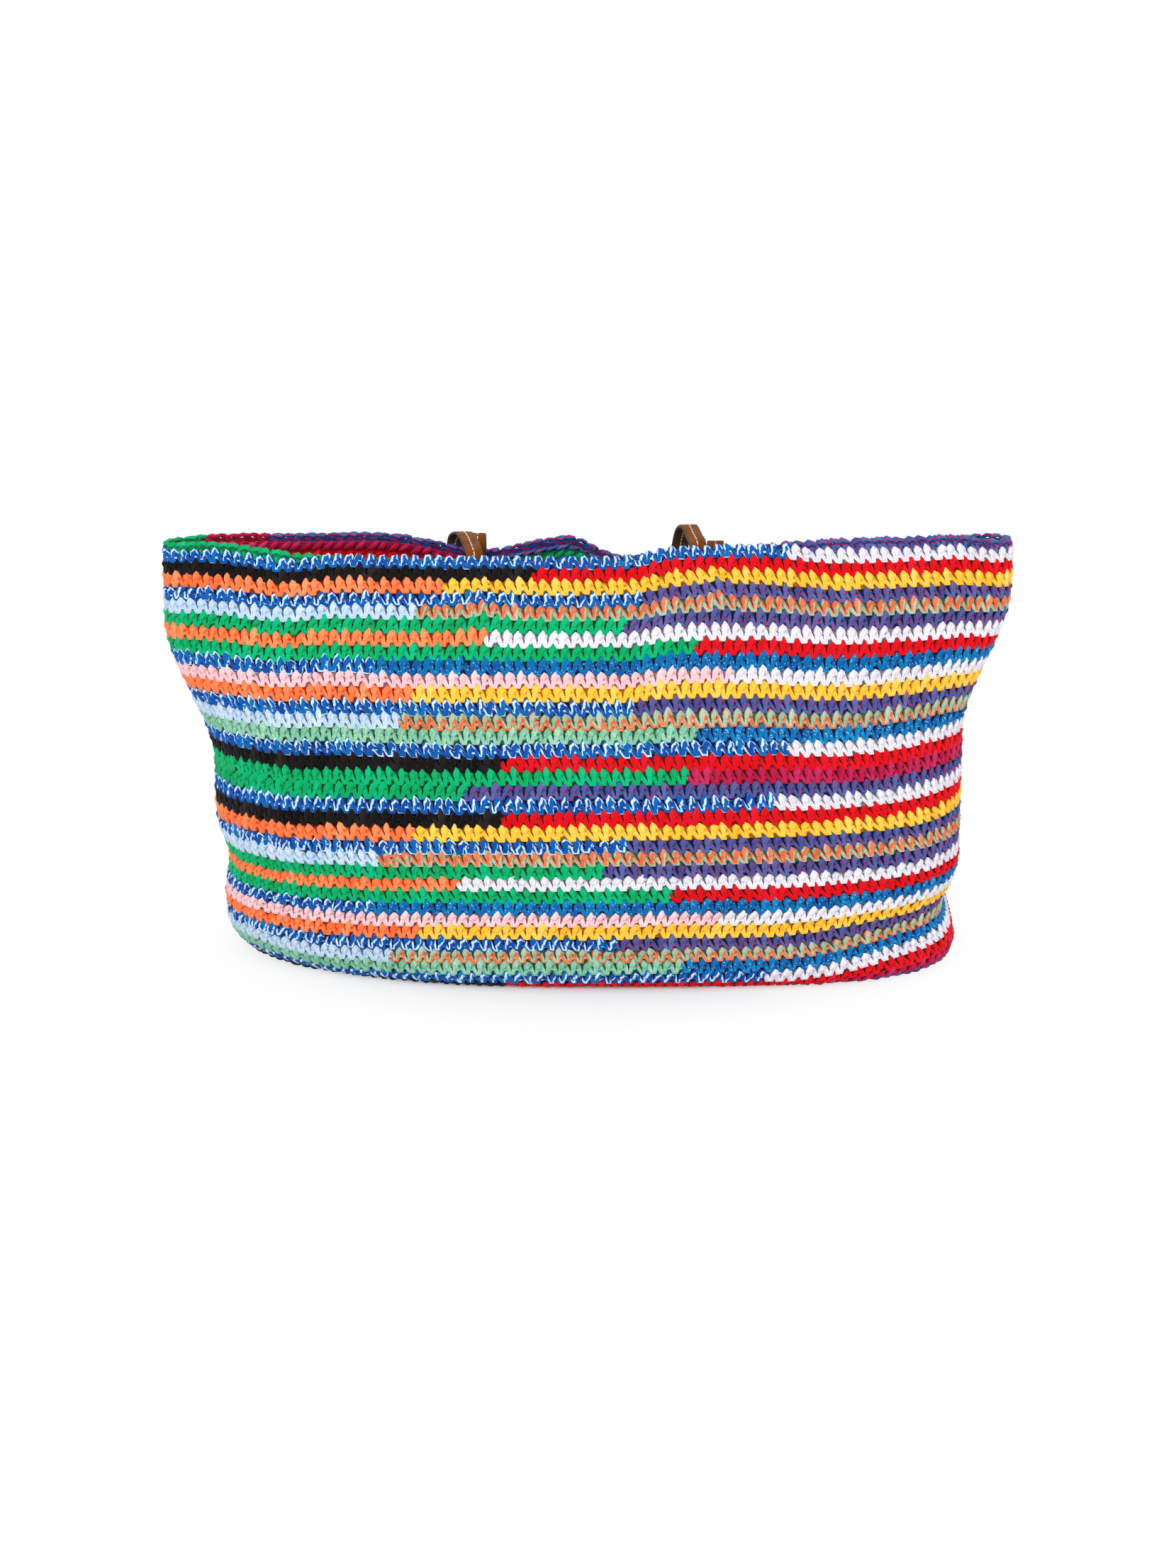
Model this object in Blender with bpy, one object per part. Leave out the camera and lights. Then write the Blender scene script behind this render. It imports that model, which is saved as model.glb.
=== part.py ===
"""Crochet tote bag with two flat leather handles, in Blender 4.5.

The bag is one piece of single crochet worked in the round: an oval base, a wall of rows that show as ridges, and a
rim. It stands on its base and has slumped: the lower half keeps the oval of the base and the mouth has closed to a
long slot, so the upper corners flare out. Both handles are flopped backwards over the rear rim and hang there.

Units are metres. X runs from left to right, Y from front to back, Z up. The origin is the middle of the base.
"""

import math

import bmesh
import bpy
import numpy as np
from mathutils import Vector

# Bag: sizes of the crochet tube from its base to its rim
BAG_HEIGHT = 0.260
MOUTH_LENGTH = 0.529
MOUTH_DEPTH = 0.068
BELLY_LENGTH = 0.471
BELLY_DEPTH = 0.208
WALL = 0.0045
RIDGE = 0.0014
ROWS = 36
COLUMNS = 52

# Bag: where its half-lengths flare and where its depth starts to close, as heights above the floor
LEFT_FLARE = (0.120, 0.214)
RIGHT_FLARE = (0.140, 0.235)
CLOSING_START = 0.095
CLOSING_POWER = 1.2

# Bag: how square the oval is, left end, right end near the base, and how far up the squareness goes
LEFT_SQUARENESS = 2.15
RIGHT_SQUARENESS = 3.6
SQUARENESS_HEIGHT = 0.150

# Bag: rounding under the wall at the left end, at the right end and along the sides
LEFT_ROUNDING = 0.024
RIGHT_ROUNDING = 0.013
SIDE_ROUNDING = 0.016

# Bag: how far both ends draw in towards the base, and the height where that starts
LEFT_TAPER = (0.0065, 0.100)
RIGHT_TAPER = (0.0035, 0.130)

# Bag: the soft creases pressed into both ends above the base: height, depth and half-height
LEFT_CREASE = (0.060, 0.0058, 0.016)
RIGHT_CREASE = (0.037, 0.0090, 0.014)

# Bag: how far the front rim rises at its shoulders, how much of that it loses again at its corners, and the ramps of
# both: start and length as shares of half the mouth. The rear rim rises only to its corners
LEFT_SHOULDER_LIFT = 0.005
LEFT_SHOULDER_RAMP = (0.66, 0.22)
LEFT_CORNER_DROP = 0.6
LEFT_CORNER_RAMP = (0.90, 0.10)
RIGHT_STEP_LIFT = 0.0065
RIGHT_STEP_RAMP = (0.08, 0.14)
RIGHT_SHOULDER_LIFT = 0.0035
RIGHT_SHOULDER_RAMP = (0.22, 0.45)
RIGHT_CORNER_DROP = 0.55
RIGHT_CORNER_RAMP = (0.84, 0.16)
RIGHT_BACK_RAMP = (0.78, 0.22)

# Bag: how far the rear rim sags, and drops further where the handles drag on it, with the start and length of the
# ramps of each along X
REAR_SAG = 0.003
REAR_SAG_RAMP = (-0.100, 0.060)
LEFT_DIP = 0.0135
LEFT_DIP_WIDTH = 0.036
RIGHT_DIP = 0.018
RIGHT_DIP_START = (-0.014, 0.036)
RIGHT_DIP_END = (0.120, 0.065)

# Bag: by how many rows the rows slip down the wall, from the rim towards the base, how many of these they win back
# low on both ends, and the ramps of each: down the wall as shares of its rows, and along the front as shares of half
# the belly. The last rows close up under the turn to the base
ROW_SLIP = 1.35
ROW_SLIP_RAMP = (0.04, 0.62)
ROW_RETURN_RAMP = (0.66, 0.28)
LEFT_RETURN = 0.9
LEFT_RETURN_RAMP = (0.70, 0.25)
RIGHT_RETURN = 1.6
RIGHT_RETURN_RAMP = (0.45, 0.40)
CLOSED_UP_ROWS = 4

# Bag: the rounded lip, as rows below (or, if negative, above) the rim
LIP_SIDE_ROW = 0.05
LIP_TOP_ROW = -0.1

# Handles: flat straps, where their four ends are sewn and where they cross the rear rim
STRAP_WIDTH = 0.0107
STRAP_THICKNESS = 0.0020
STRAP_EDGE = 0.0005
SEWN_LENGTH = 0.034
SEAT_GAP = 0.0005
FRONT_LEFT_X = -0.063
FRONT_RIGHT_X = 0.073
BACK_LEFT_X = -0.070
BACK_RIGHT_X = 0.081
FRONT_LEFT_LEAN = 0.021
FRONT_RIGHT_LEAN = 0.015
LEAN_BELOW_RIM = 0.35
SEWN_POINTS = (0.0, 0.35, 0.7, 1.0)
FRONT_LEFT_ARCH = 0.0052
FRONT_RIGHT_ARCH = 0.0034
BACK_ARCH = 0.0095

# Handles: the points of both arches as shares of the way across and of the arch's height, and the tilt of the face
FRONT_ARCH_POINTS = ((0.20, 0.78, -0.55), (0.48, 1.0, 0.0), (0.78, 0.62, 0.45))
BACK_ARCH_POINTS = ((-0.10, 0.60, -0.9), (0.34, 1.0, 0.0), (0.84, 0.62, 1.0))
EDGE_RISE = 0.0012
EDGE_TILT = 0.78

# Handles: how they hang behind the bag
FRONT_DROP = 0.125
BACK_DROP = 0.192
LOOP_SQUARENESS = 2.7
LOOP_DRIFT = 0.012
LOOP_POINTS = 22
LOOP_START = 0.10
SPARE_RAMP = 0.5
FRONT_TWIST_START = 0.25
BACK_TWIST_START = 0.66
STRAP_STEP = 0.009

# Yarns, as (red, green, blue) on the screen, and the roughness of cotton and leather
YARNS = {
    "denim": (0.25, 0.45, 0.76),
    "black": (0.10, 0.08, 0.08),
    "orange": (1.00, 0.47, 0.25),
    "pale_blue": (0.70, 0.80, 0.93),
    "green": (0.00, 0.65, 0.40),
    "pink": (0.98, 0.78, 0.80),
    "mint": (0.55, 0.78, 0.65),
    "white": (0.94, 0.94, 0.96),
    "red": (0.94, 0.06, 0.14),
    "yellow": (0.98, 0.74, 0.22),
    "plum": (0.42, 0.26, 0.52),
    "sand": (0.76, 0.58, 0.42),
    "royal": (0.00, 0.40, 0.75),
    "crimson": (0.75, 0.14, 0.31),
}
YARN_ROUGHNESS = 0.9
LEATHER = (0.50, 0.30, 0.14)
LEATHER_ROUGHNESS = 0.5

# One repeat of the stripes, from the rim down: the yarn that starts the row, the yarn that follows it, and where it
# changes, as a share of the front from its left end to its right end
STRIPES = (
    ("denim", "white", 0.73),
    ("black", "red", 0.44),
    ("orange", "yellow", 0.32),
    ("denim", "plum", 0.56),
    ("pale_blue", "sand", 0.28),
    ("green", "plum", 0.54),
    ("orange", "white", 0.37),
    ("green", "red", 0.63),
    ("denim", "royal", 0.25),
    ("pink", "white", 0.68),
    ("orange", "yellow", 0.30),
    ("denim", "plum", 0.55),
    ("pale_blue", "sand", 0.27),
    ("mint", "royal", 0.62),
    ("denim", "white", 0.73),
    ("black", "red", 0.38),
    ("green", "crimson", 0.61),
    ("green", "plum", 0.35),
)


def smooth_step(value):
    """A ramp from 0 to 1 that starts and ends level."""
    share = np.clip(value, 0.0, 1.0)
    return share * share * (3.0 - 2.0 * share)


def ramp(share, start_and_length):
    """A smooth ramp from 0 to 1 from a start, over a length."""
    start, length = start_and_length
    return smooth_step((share - start) / length)


def dent(height, crease):
    """How far a crease presses in at this height."""
    middle, depth, half_height = crease
    return depth * np.exp(-(((height - middle) / half_height) ** 2))


def taper(height, reach_and_start):
    """How far an end has drawn in at this height."""
    reach, start = reach_and_start
    return reach * (1.0 - smooth_step(height / start))


def lengths_along(points):
    """Length of the line through the points, up to each of them."""
    return np.concatenate(([0.0], np.cumsum(np.linalg.norm(np.diff(points, axis=0), axis=1))))


def half_lengths(height):
    """Half-lengths of the oval at a height, left and right of the middle."""
    flare = (MOUTH_LENGTH - BELLY_LENGTH) / 2
    left_share = (height - LEFT_FLARE[0]) / (LEFT_FLARE[1] - LEFT_FLARE[0])
    right_share = (height - RIGHT_FLARE[0]) / (RIGHT_FLARE[1] - RIGHT_FLARE[0])
    left = BELLY_LENGTH / 2 + flare * smooth_step(left_share) - dent(height, LEFT_CREASE)
    right = BELLY_LENGTH / 2 + flare * smooth_step(right_share) - dent(height, RIGHT_CREASE)
    return left - taper(height, LEFT_TAPER), right - taper(height, RIGHT_TAPER)


def half_depth(height):
    """Half the depth of the oval at a height."""
    share = np.maximum((height - CLOSING_START) / (BAG_HEIGHT - CLOSING_START), 0.0)
    return BELLY_DEPTH / 2 + (MOUTH_DEPTH - BELLY_DEPTH) / 2 * share**CLOSING_POWER


def right_squareness(height):
    """Exponent of the right half of the oval, which is squarer near the base."""
    fade = 1.0 - smooth_step(height / SQUARENESS_HEIGHT)
    return LEFT_SQUARENESS + (RIGHT_SQUARENESS - LEFT_SQUARENESS) * fade


def oval(height, inset, samples=720):
    """Points of the oval at a height, each side moved in by inset, from the left end along the front and back."""
    angle = math.pi + np.linspace(0.0, 2.0 * math.pi, samples + 1)
    cosine, sine = np.cos(angle), np.sin(angle)
    left, right = half_lengths(height)
    power = np.where(cosine < 0.0, 2.0 / LEFT_SQUARENESS, 2.0 / right_squareness(height))
    reach = np.where(cosine < 0.0, left, right) - inset
    x = reach * np.sign(cosine) * np.abs(cosine) ** power
    y = (half_depth(height) - inset) * np.sign(sine) * np.abs(sine) ** power
    return x, y


def on_oval(turn, height, inset):
    """The point a share of the way round the oval at a height."""
    x, y = oval(height, inset)
    way = lengths_along(np.column_stack((x, y)))
    wanted = turn % 1.0 * way[-1]
    return np.interp(wanted, way, x), np.interp(wanted, way, y)


def rounding(turn):
    """Radius of the turn from the wall to the base, a share of the way round."""
    x, _ = on_oval(turn, CLOSING_START, 0.0)
    end = LEFT_ROUNDING if x < 0.0 else RIGHT_ROUNDING
    return SIDE_ROUNDING + (end - SIDE_ROUNDING) * abs(x / (BELLY_LENGTH / 2)) ** 4


def rim_lift(turn):
    """How far the rim stands above or below the height of the bag, a share of the way round."""
    x, y = on_oval(turn, BAG_HEIGHT, 0.0)
    share = x / (MOUTH_LENGTH / 2)
    left_rise, right_rise = ramp(-share, LEFT_SHOULDER_RAMP), ramp(share, RIGHT_BACK_RAMP)
    right_lift = RIGHT_STEP_LIFT + RIGHT_SHOULDER_LIFT
    if y < 0.0:
        lift = LEFT_SHOULDER_LIFT * (left_rise - LEFT_CORNER_DROP * ramp(-share, LEFT_CORNER_RAMP))
        lift += RIGHT_STEP_LIFT * ramp(share, RIGHT_STEP_RAMP) + RIGHT_SHOULDER_LIFT * ramp(share, RIGHT_SHOULDER_RAMP)
        return lift - right_lift * RIGHT_CORNER_DROP * ramp(share, RIGHT_CORNER_RAMP)
    lift = LEFT_SHOULDER_LIFT * (1.0 - LEFT_CORNER_DROP) * left_rise
    lift += right_lift * (1.0 - RIGHT_CORNER_DROP) * right_rise
    lift -= REAR_SAG * ramp(x, REAR_SAG_RAMP) * (1.0 - right_rise)
    lift -= LEFT_DIP * math.exp(-(((x - BACK_LEFT_X) / LEFT_DIP_WIDTH) ** 2))
    return lift - RIGHT_DIP * ramp(x, RIGHT_DIP_START) * (1.0 - ramp(x, RIGHT_DIP_END))


def row_slip(row, x):
    """By how many rows a row lies lower on the wall than an even count puts it."""
    share = x / (BELLY_LENGTH / 2)
    won_back = LEFT_RETURN * ramp(-share, LEFT_RETURN_RAMP) + RIGHT_RETURN * ramp(share, RIGHT_RETURN_RAMP)
    slip = ROW_SLIP * ramp(row / ROWS, ROW_SLIP_RAMP) - won_back * ramp(row / ROWS, ROW_RETURN_RAMP)
    return slip * min(max((ROWS - row) / CLOSED_UP_ROWS, 0.0), 1.0)


class Meridian:
    """One line down the wall, from above the rim to the edge of the flat base."""

    WALL_SAMPLES = 60
    ROUND_SAMPLES = 16
    SPARE = 0.016

    def __init__(self, turn):
        self.turn = turn
        self.lift = rim_lift(turn)
        self.x, _ = on_oval(turn, CLOSING_START, 0.0)
        radius = rounding(turn)
        top = BAG_HEIGHT + self.SPARE
        heights = np.linspace(top, radius, self.WALL_SAMPLES)
        angles = np.linspace(0.0, math.pi / 2, self.ROUND_SAMPLES)[1:]
        self.heights = np.concatenate((heights, radius * (1.0 - np.sin(angles))))
        self.insets = np.concatenate((np.zeros_like(heights), radius * (1.0 - np.cos(angles))))
        self.outward = np.concatenate((np.ones_like(heights), np.cos(angles)))
        points = np.array([
            (*on_oval(turn, height, inset), height) for height, inset in zip(self.heights, self.insets)
        ])
        way = lengths_along(points)
        self.way = way - np.interp(-BAG_HEIGHT, -self.heights, way)

    def at_row(self, row, proud=0.0):
        """The point at a row, counted from the rim, standing proud of the wall or, if negative, inside it."""
        share = (row + row_slip(row, self.x)) / ROWS
        along = share * self.way[-1] - self.lift * (1.0 - min(share, 1.0)) ** 2
        return self.at_way(along, proud)

    def at_way(self, along, proud):
        """The point this far down the wall."""
        height = np.interp(along, self.way, self.heights)
        inset = np.interp(along, self.way, self.insets)
        sideways = proud * np.interp(along, self.way, self.outward) if proud > 0.0 else proud
        x, y = on_oval(self.turn, height, inset - sideways)
        return Vector((x, y, height))

    def at_floor(self, height, inset):
        """The point inside the wall where it meets the inner floor."""
        along = np.interp(-height, -self.heights, self.way)
        point = self.at_way(along, -inset)
        point.z = height
        return point


def loft(name, rings, materials, yarn_of=None):
    """A closed solid through rings of points, capped at both ends. yarn_of gives a face its material."""
    mesh_data = bmesh.new()
    count = len(rings[0])
    bmesh.ops.create_circle(mesh_data, cap_ends=True, segments=count, radius=1.0)
    mesh_data.verts.ensure_lookup_table()
    ring = list(mesh_data.verts)
    for vertex, point in zip(ring, rings[0]):
        vertex.co = point
    for step, points in enumerate(rings[1:]):
        edges = [mesh_data.edges.get((ring[i], ring[i - 1])) for i in range(count)]
        made = bmesh.ops.extrude_edge_only(mesh_data, edges=edges)["geom"]
        fresh = {item for item in made if isinstance(item, bmesh.types.BMVert)}
        ring = [next(e.other_vert(v) for e in v.link_edges if e.other_vert(v) in fresh) for v in ring]
        for vertex, point in zip(ring, points):
            vertex.co = point
        if yarn_of:
            for face in (item for item in made if isinstance(item, bmesh.types.BMFace)):
                face.material_index = yarn_of(step, face.calc_center_median())
    rim = [mesh_data.edges.get((ring[i], ring[i - 1])) for i in range(count)]
    bmesh.ops.contextual_create(mesh_data, geom=rim)
    bmesh.ops.recalc_face_normals(mesh_data, faces=mesh_data.faces)
    mesh = bpy.data.meshes.new(name)
    mesh_data.to_mesh(mesh)
    mesh_data.free()
    for material in materials:
        mesh.materials.append(material)
    mesh.shade_smooth()
    mesh.set_sharp_from_angle(angle=math.radians(50))
    solid = bpy.data.objects.new(name, mesh)
    bpy.context.scene.collection.objects.link(solid)
    return solid


def make_material(name, colour, roughness):
    """A plain finish of one colour."""
    material = bpy.data.materials.new(name)
    material.use_nodes = True
    shader = material.node_tree.nodes["Principled BSDF"]
    shader.inputs["Base Color"].default_value = (*(channel**2.2 for channel in colour), 1.0)
    shader.inputs["Roughness"].default_value = roughness
    shader.inputs["Metallic"].default_value = 0.0
    return material


def yarn_at(row, place):
    """The name of the yarn of a row at a place. The back has the stripes of the front in reverse, up and across."""
    share = 0.5 + place.x / MOUTH_LENGTH
    if place.y > 0.0:
        row, share = -row, 1.0 - share
    first, second, change = STRIPES[(row - 1) % len(STRIPES)]
    return first if share < change else second


def build_body():
    """The crochet: a flat base, rows as ridges up the wall, a rounded rim and a plain inner side."""
    turns = [column / COLUMNS for column in range(COLUMNS)]
    meridians = [Meridian(turn) for turn in turns]
    inner = WALL / math.cos(math.atan2((BELLY_DEPTH - MOUTH_DEPTH) / 2, BAG_HEIGHT - CLOSING_START) / 2)
    lip = WALL / 4
    rings = [[line.at_row(ROWS) for line in meridians]]
    rows = [ROWS]
    for row in range(ROWS - 1, -1, -1):
        rings.append([line.at_row(row + 0.5, RIDGE) for line in meridians])
        if row:
            rings.append([line.at_row(row) for line in meridians])
        rows += [row + 1, row]
    rings.append([line.at_row(LIP_SIDE_ROW, -lip) for line in meridians])
    rings.append([line.at_row(LIP_TOP_ROW, -inner / 2) for line in meridians])
    rings.append([line.at_row(LIP_SIDE_ROW, lip - inner) for line in meridians])
    rows += [0, 0]
    for row in range(1, ROWS - 2, 3):
        rings.append([line.at_row(row + 0.5, -inner) for line in meridians])
        rows.append(row)
    rings.append([line.at_floor(WALL, inner) for line in meridians])
    rows.append(ROWS - 1)
    names = list(YARNS)
    materials = [make_material(name + "_yarn", YARNS[name], YARN_ROUGHNESS) for name in names]
    return loft("crochet_body", rings, materials, lambda step, place: names.index(yarn_at(rows[step], place)))


def turn_at(x, height, side):
    """The share of the way round where the wall at a height reaches x, on the front (-1) or the back (1)."""
    low, high = (0.0, 0.5) if side < 0 else (1.0, 0.5)
    for _ in range(30):
        middle = (low + high) / 2
        if on_oval(middle, height, 0.0)[0] < x:
            low = middle
        else:
            high = middle
    return (low + high) / 2


def wall_depth(x, height, proud):
    """How far the wall lies from the middle plane at x and a height, measured proud of it or inside it."""
    left, right = half_lengths(height)
    reach, power = (left, LEFT_SQUARENESS) if x < 0.0 else (right, right_squareness(height))
    share = min(abs(x) / (reach + proud), 1.0)
    return (half_depth(height) + proud) * (1.0 - share**power) ** (1.0 / power)


def wall_face(x, height):
    """Unit vector square to the back wall at x and a height."""
    step = 0.004
    across = wall_depth(x + step, height, 0.0) - wall_depth(x - step, height, 0.0)
    upward = wall_depth(x, height + step, 0.0) - wall_depth(x, height - step, 0.0)
    return Vector((-across, 2 * step, -upward)).normalized()


def rim_height(x, side):
    """Height of the rim at x, on the front (-1) or the back (1)."""
    line = Meridian(turn_at(x, BAG_HEIGHT, side))
    return line.at_row(LIP_TOP_ROW, -WALL / 2).z


def seat(x, height, side, inside):
    """The middle of a strap that lies flat on the wall at x and a height, and the direction its face looks."""
    face = wall_face(x, height)
    face.y *= side
    reach = STRAP_THICKNESS / 2 + SEAT_GAP
    proud = -WALL if inside else RIDGE
    point = Vector((x, side * wall_depth(x, height, proud), height))
    return point + face * (-reach if inside else reach), face


def sewn_leg(x, side, lean):
    """Points up the inside of the wall from a sewn end to the rim, with the face that stays up over the mouth."""
    top = rim_height(x, side)
    found = []
    for share in SEWN_POINTS:
        place = x - lean * LEAN_BELOW_RIM * share
        point, face = seat(place, top - SEWN_LENGTH * (1.0 - share), side, inside=True)
        found.append((point, face if side < 0 else -face))
    return found


def tilted(tilt):
    """The upward direction leaned towards the back by tilt."""
    return Vector((0.0, math.sin(tilt), math.cos(tilt)))


def front_arch(x, crossing, arch):
    """Points over the mouth, from the front rim to the place where the strap crosses the rear rim."""
    start, _ = sewn_leg(x, -1, x - crossing)[-1]
    rear = rim_height(crossing, 1)
    edge = Vector((crossing, wall_depth(crossing, rear, 0.0), rear + STRAP_THICKNESS / 2 + SEAT_GAP))
    high = max(start.z, rear) + arch
    span = edge - start
    points = []
    for share, rise, tilt in FRONT_ARCH_POINTS:
        floor_z = start.z + (edge.z - start.z) * share
        height = floor_z + (high - floor_z) * rise
        points.append((Vector((start.x + span.x * share, start.y + span.y * share, height)), tilted(tilt)))
    points.append((edge + Vector((0.0, WALL / 3, EDGE_RISE)), tilted(EDGE_TILT)))
    return points


def back_arch(x):
    """Points of the tight fold over the rear rim."""
    start, _ = sewn_leg(x, 1, 0.0)[-1]
    rim = rim_height(x, 1)
    outer, _ = seat(x, rim - BACK_ARCH, 1, inside=False)
    across = outer.y - start.y
    points = []
    for share, rise, tilt in BACK_ARCH_POINTS:
        place = Vector((x, start.y + across * share, rim + BACK_ARCH * rise))
        points.append((place, tilted(tilt)))
    return points


def hanging_loop(left_x, right_x, drop, drift, spare, twist_start):
    """Points of the strap where it hangs behind the bag, from below the rear rim on the left to the right.

    The strap lies flat on the wall down to twist_start, a share of its drop, and stands on edge at its lowest point.
    """
    middle, reach = (left_x + right_x) / 2, (right_x - left_x) / 2
    top = {-1: rim_height(left_x, 1), 1: rim_height(right_x, 1)}
    lowest = (top[-1] + top[1]) / 2 - drop
    points = []
    for number in range(1, LOOP_POINTS):
        angle = math.pi * number / LOOP_POINTS
        across = -math.copysign(abs(math.cos(angle)) ** (2 / LOOP_SQUARENESS), math.cos(angle))
        down = math.sin(angle) ** (2 / LOOP_SQUARENESS)
        start = top[-1] + (top[1] - top[-1]) * (1.0 + across) / 2
        height = start + (lowest - start) * down
        x = middle + reach * across - drift * down
        twist = math.pi / 2 * smooth_step((down - twist_start) / (1.0 - twist_start))
        face = wall_face(x, height)
        half = STRAP_WIDTH / 2 * math.sin(twist) + STRAP_THICKNESS / 2 * math.cos(twist)
        away = half + SEAT_GAP + spare * smooth_step(down / SPARE_RAMP)
        point = Vector((x, wall_depth(x, height, RIDGE), height)) + face * away
        if down > LOOP_START:
            points.append((point, face, twist))
    return points


def strap_route(legs, loop):
    """Joins the left leg, the hanging loop and the right leg into one list of points, faces and twists."""
    left, right = legs
    return (
        [(point, face, 0.0) for point, face in left]
        + loop
        + [(point, face, 0.0) for point, face in reversed(right)]
    )


def smooth_route(route):
    """The route as a smooth curve, read at even steps."""
    values = np.array([(*point, *face, twist) for point, face, twist in route])
    gaps = np.linalg.norm(np.diff(values[:, :3], axis=0), axis=1)
    knots = np.concatenate(([0.0], np.cumsum(np.sqrt(gaps))))
    slopes = np.gradient(values, knots, axis=0)
    fine = np.linspace(0.0, knots[-1], 900)
    index = np.clip(np.searchsorted(knots, fine, side="right") - 1, 0, len(knots) - 2)
    width = (knots[index + 1] - knots[index])[:, None]
    share = (fine[:, None] - knots[index][:, None]) / width
    curve = (
        (2 * share**3 - 3 * share**2 + 1) * values[index]
        + (share**3 - 2 * share**2 + share) * width * slopes[index]
        + (3 * share**2 - 2 * share**3) * values[index + 1]
        + (share**3 - share**2) * width * slopes[index + 1]
    )
    way = lengths_along(curve[:, :3])
    stations = np.linspace(0.0, way[-1], round(way[-1] / STRAP_STEP) + 1)
    return np.array([[np.interp(station, way, column) for column in curve.T] for station in stations])


def strap_section():
    """Corners of the strap's section, as shares across its width and its thickness, with eased edges."""
    half_width, half_thickness = STRAP_WIDTH / 2, STRAP_THICKNESS / 2
    corners = []
    for side, face in ((1, -1), (1, 1), (-1, 1), (-1, -1)):
        flat = (side * (half_width - STRAP_EDGE), face * half_thickness)
        edge = (side * half_width, face * (half_thickness - STRAP_EDGE))
        corners += [flat, edge] if side * face < 0 else [edge, flat]
    return corners


def build_strap(name, route, material):
    """A flat strap along a route, turned about its own line where it hangs free."""
    stations = smooth_route(route)
    points = stations[:, :3]
    along = np.gradient(points, axis=0)
    rings = []
    for point, direction, station in zip(points, along, stations):
        tangent = Vector(direction).normalized()
        face = Vector(station[3:6])
        face = (face - tangent * face.dot(tangent)).normalized()
        across = tangent.cross(face)
        twist = station[6]
        width_axis = across * math.cos(twist) + face * math.sin(twist)
        thickness_axis = face * math.cos(twist) - across * math.sin(twist)
        rings.append([
            Vector(point) + width_axis * wide + thickness_axis * thick for wide, thick in strap_section()
        ])
    return loft(name, rings, [material])


def build_handles():
    """Both handles, flopped backwards over the rear rim."""
    leather = make_material("strap_leather", LEATHER, LEATHER_ROUGHNESS)
    legs = (
        (FRONT_LEFT_X, FRONT_LEFT_LEAN, FRONT_LEFT_ARCH),
        (FRONT_RIGHT_X, FRONT_RIGHT_LEAN, FRONT_RIGHT_ARCH),
    )
    front_legs = [sewn_leg(x, -1, lean) + front_arch(x, x - lean, arch) for x, lean, arch in legs]
    left, right = (x - lean for x, lean, _ in legs)
    spare = STRAP_THICKNESS + SEAT_GAP
    front_loop = hanging_loop(left, right, FRONT_DROP, LOOP_DRIFT, spare, FRONT_TWIST_START)
    build_strap("front_handle", strap_route(front_legs, front_loop), leather)
    back_legs = [sewn_leg(x, 1, 0.0) + back_arch(x) for x in (BACK_LEFT_X, BACK_RIGHT_X)]
    back_loop = hanging_loop(BACK_LEFT_X, BACK_RIGHT_X, BACK_DROP, 0.0, 0.0, BACK_TWIST_START)
    build_strap("back_handle", strap_route(back_legs, back_loop), leather)


def clear_scene():
    """Removes what the scene holds."""
    for item in list(bpy.data.objects):
        bpy.data.objects.remove(item, do_unlink=True)


def main():
    """Builds the bag and its handles."""
    clear_scene()
    bpy.context.scene.unit_settings.scale_length = 1.0
    build_body()
    build_handles()


main()
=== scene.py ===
"""Looks of the crochet tote bag: worked stitches, leather straps, studio and camera.

The stitches are ropes of yarn, made once, copied flat, and then laid on the skin of the bag, which has the
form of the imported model. Lengths are metres, apart from the shapes and depths of the stitches, which are in
widths, rows and millimetres.
"""

from __future__ import annotations

import logging
import math
from dataclasses import dataclass
from enum import Enum

import bmesh
import bpy
import numpy as np
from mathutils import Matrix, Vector

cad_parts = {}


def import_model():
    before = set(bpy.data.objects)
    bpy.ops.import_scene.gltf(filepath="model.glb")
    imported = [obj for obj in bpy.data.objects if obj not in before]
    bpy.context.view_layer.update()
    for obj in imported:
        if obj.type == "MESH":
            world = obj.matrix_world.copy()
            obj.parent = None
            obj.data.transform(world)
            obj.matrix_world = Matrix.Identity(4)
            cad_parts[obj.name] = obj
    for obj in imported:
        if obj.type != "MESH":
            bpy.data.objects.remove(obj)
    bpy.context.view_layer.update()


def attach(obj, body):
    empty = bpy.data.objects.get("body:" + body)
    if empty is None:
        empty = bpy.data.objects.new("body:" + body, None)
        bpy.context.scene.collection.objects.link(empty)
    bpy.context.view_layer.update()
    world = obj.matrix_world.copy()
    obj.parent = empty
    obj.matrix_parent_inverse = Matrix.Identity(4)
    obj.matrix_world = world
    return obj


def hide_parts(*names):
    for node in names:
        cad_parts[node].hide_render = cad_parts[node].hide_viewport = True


LOG = logging.getLogger("crochet_tote")
MM = 0.001
BODY = "root"
SEAM_GAP = 1e-5
Pair = tuple[float, float]
Triple = tuple[float, float, float]
Colour = Triple


def smooth_step(value: np.ndarray | float) -> np.ndarray | float:
    """Gives a ramp from 0 to 1, over values from 0 to 1, that starts and ends level."""
    share = np.clip(value, 0.0, 1.0)
    return share * share * (3.0 - 2.0 * share)


def ramp(share: np.ndarray | float, start_and_length: Pair) -> np.ndarray | float:
    """Gives a smooth ramp from 0 to 1 that begins at a start and runs over a length."""
    start, length = start_and_length
    return smooth_step((share - start) / length)


def lengths_along(points: np.ndarray) -> np.ndarray:
    """Measures the line through points, one a row, up to each of them."""
    return np.concatenate(([0.0], np.cumsum(np.linalg.norm(np.diff(points, axis=0), axis=1))))


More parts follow.
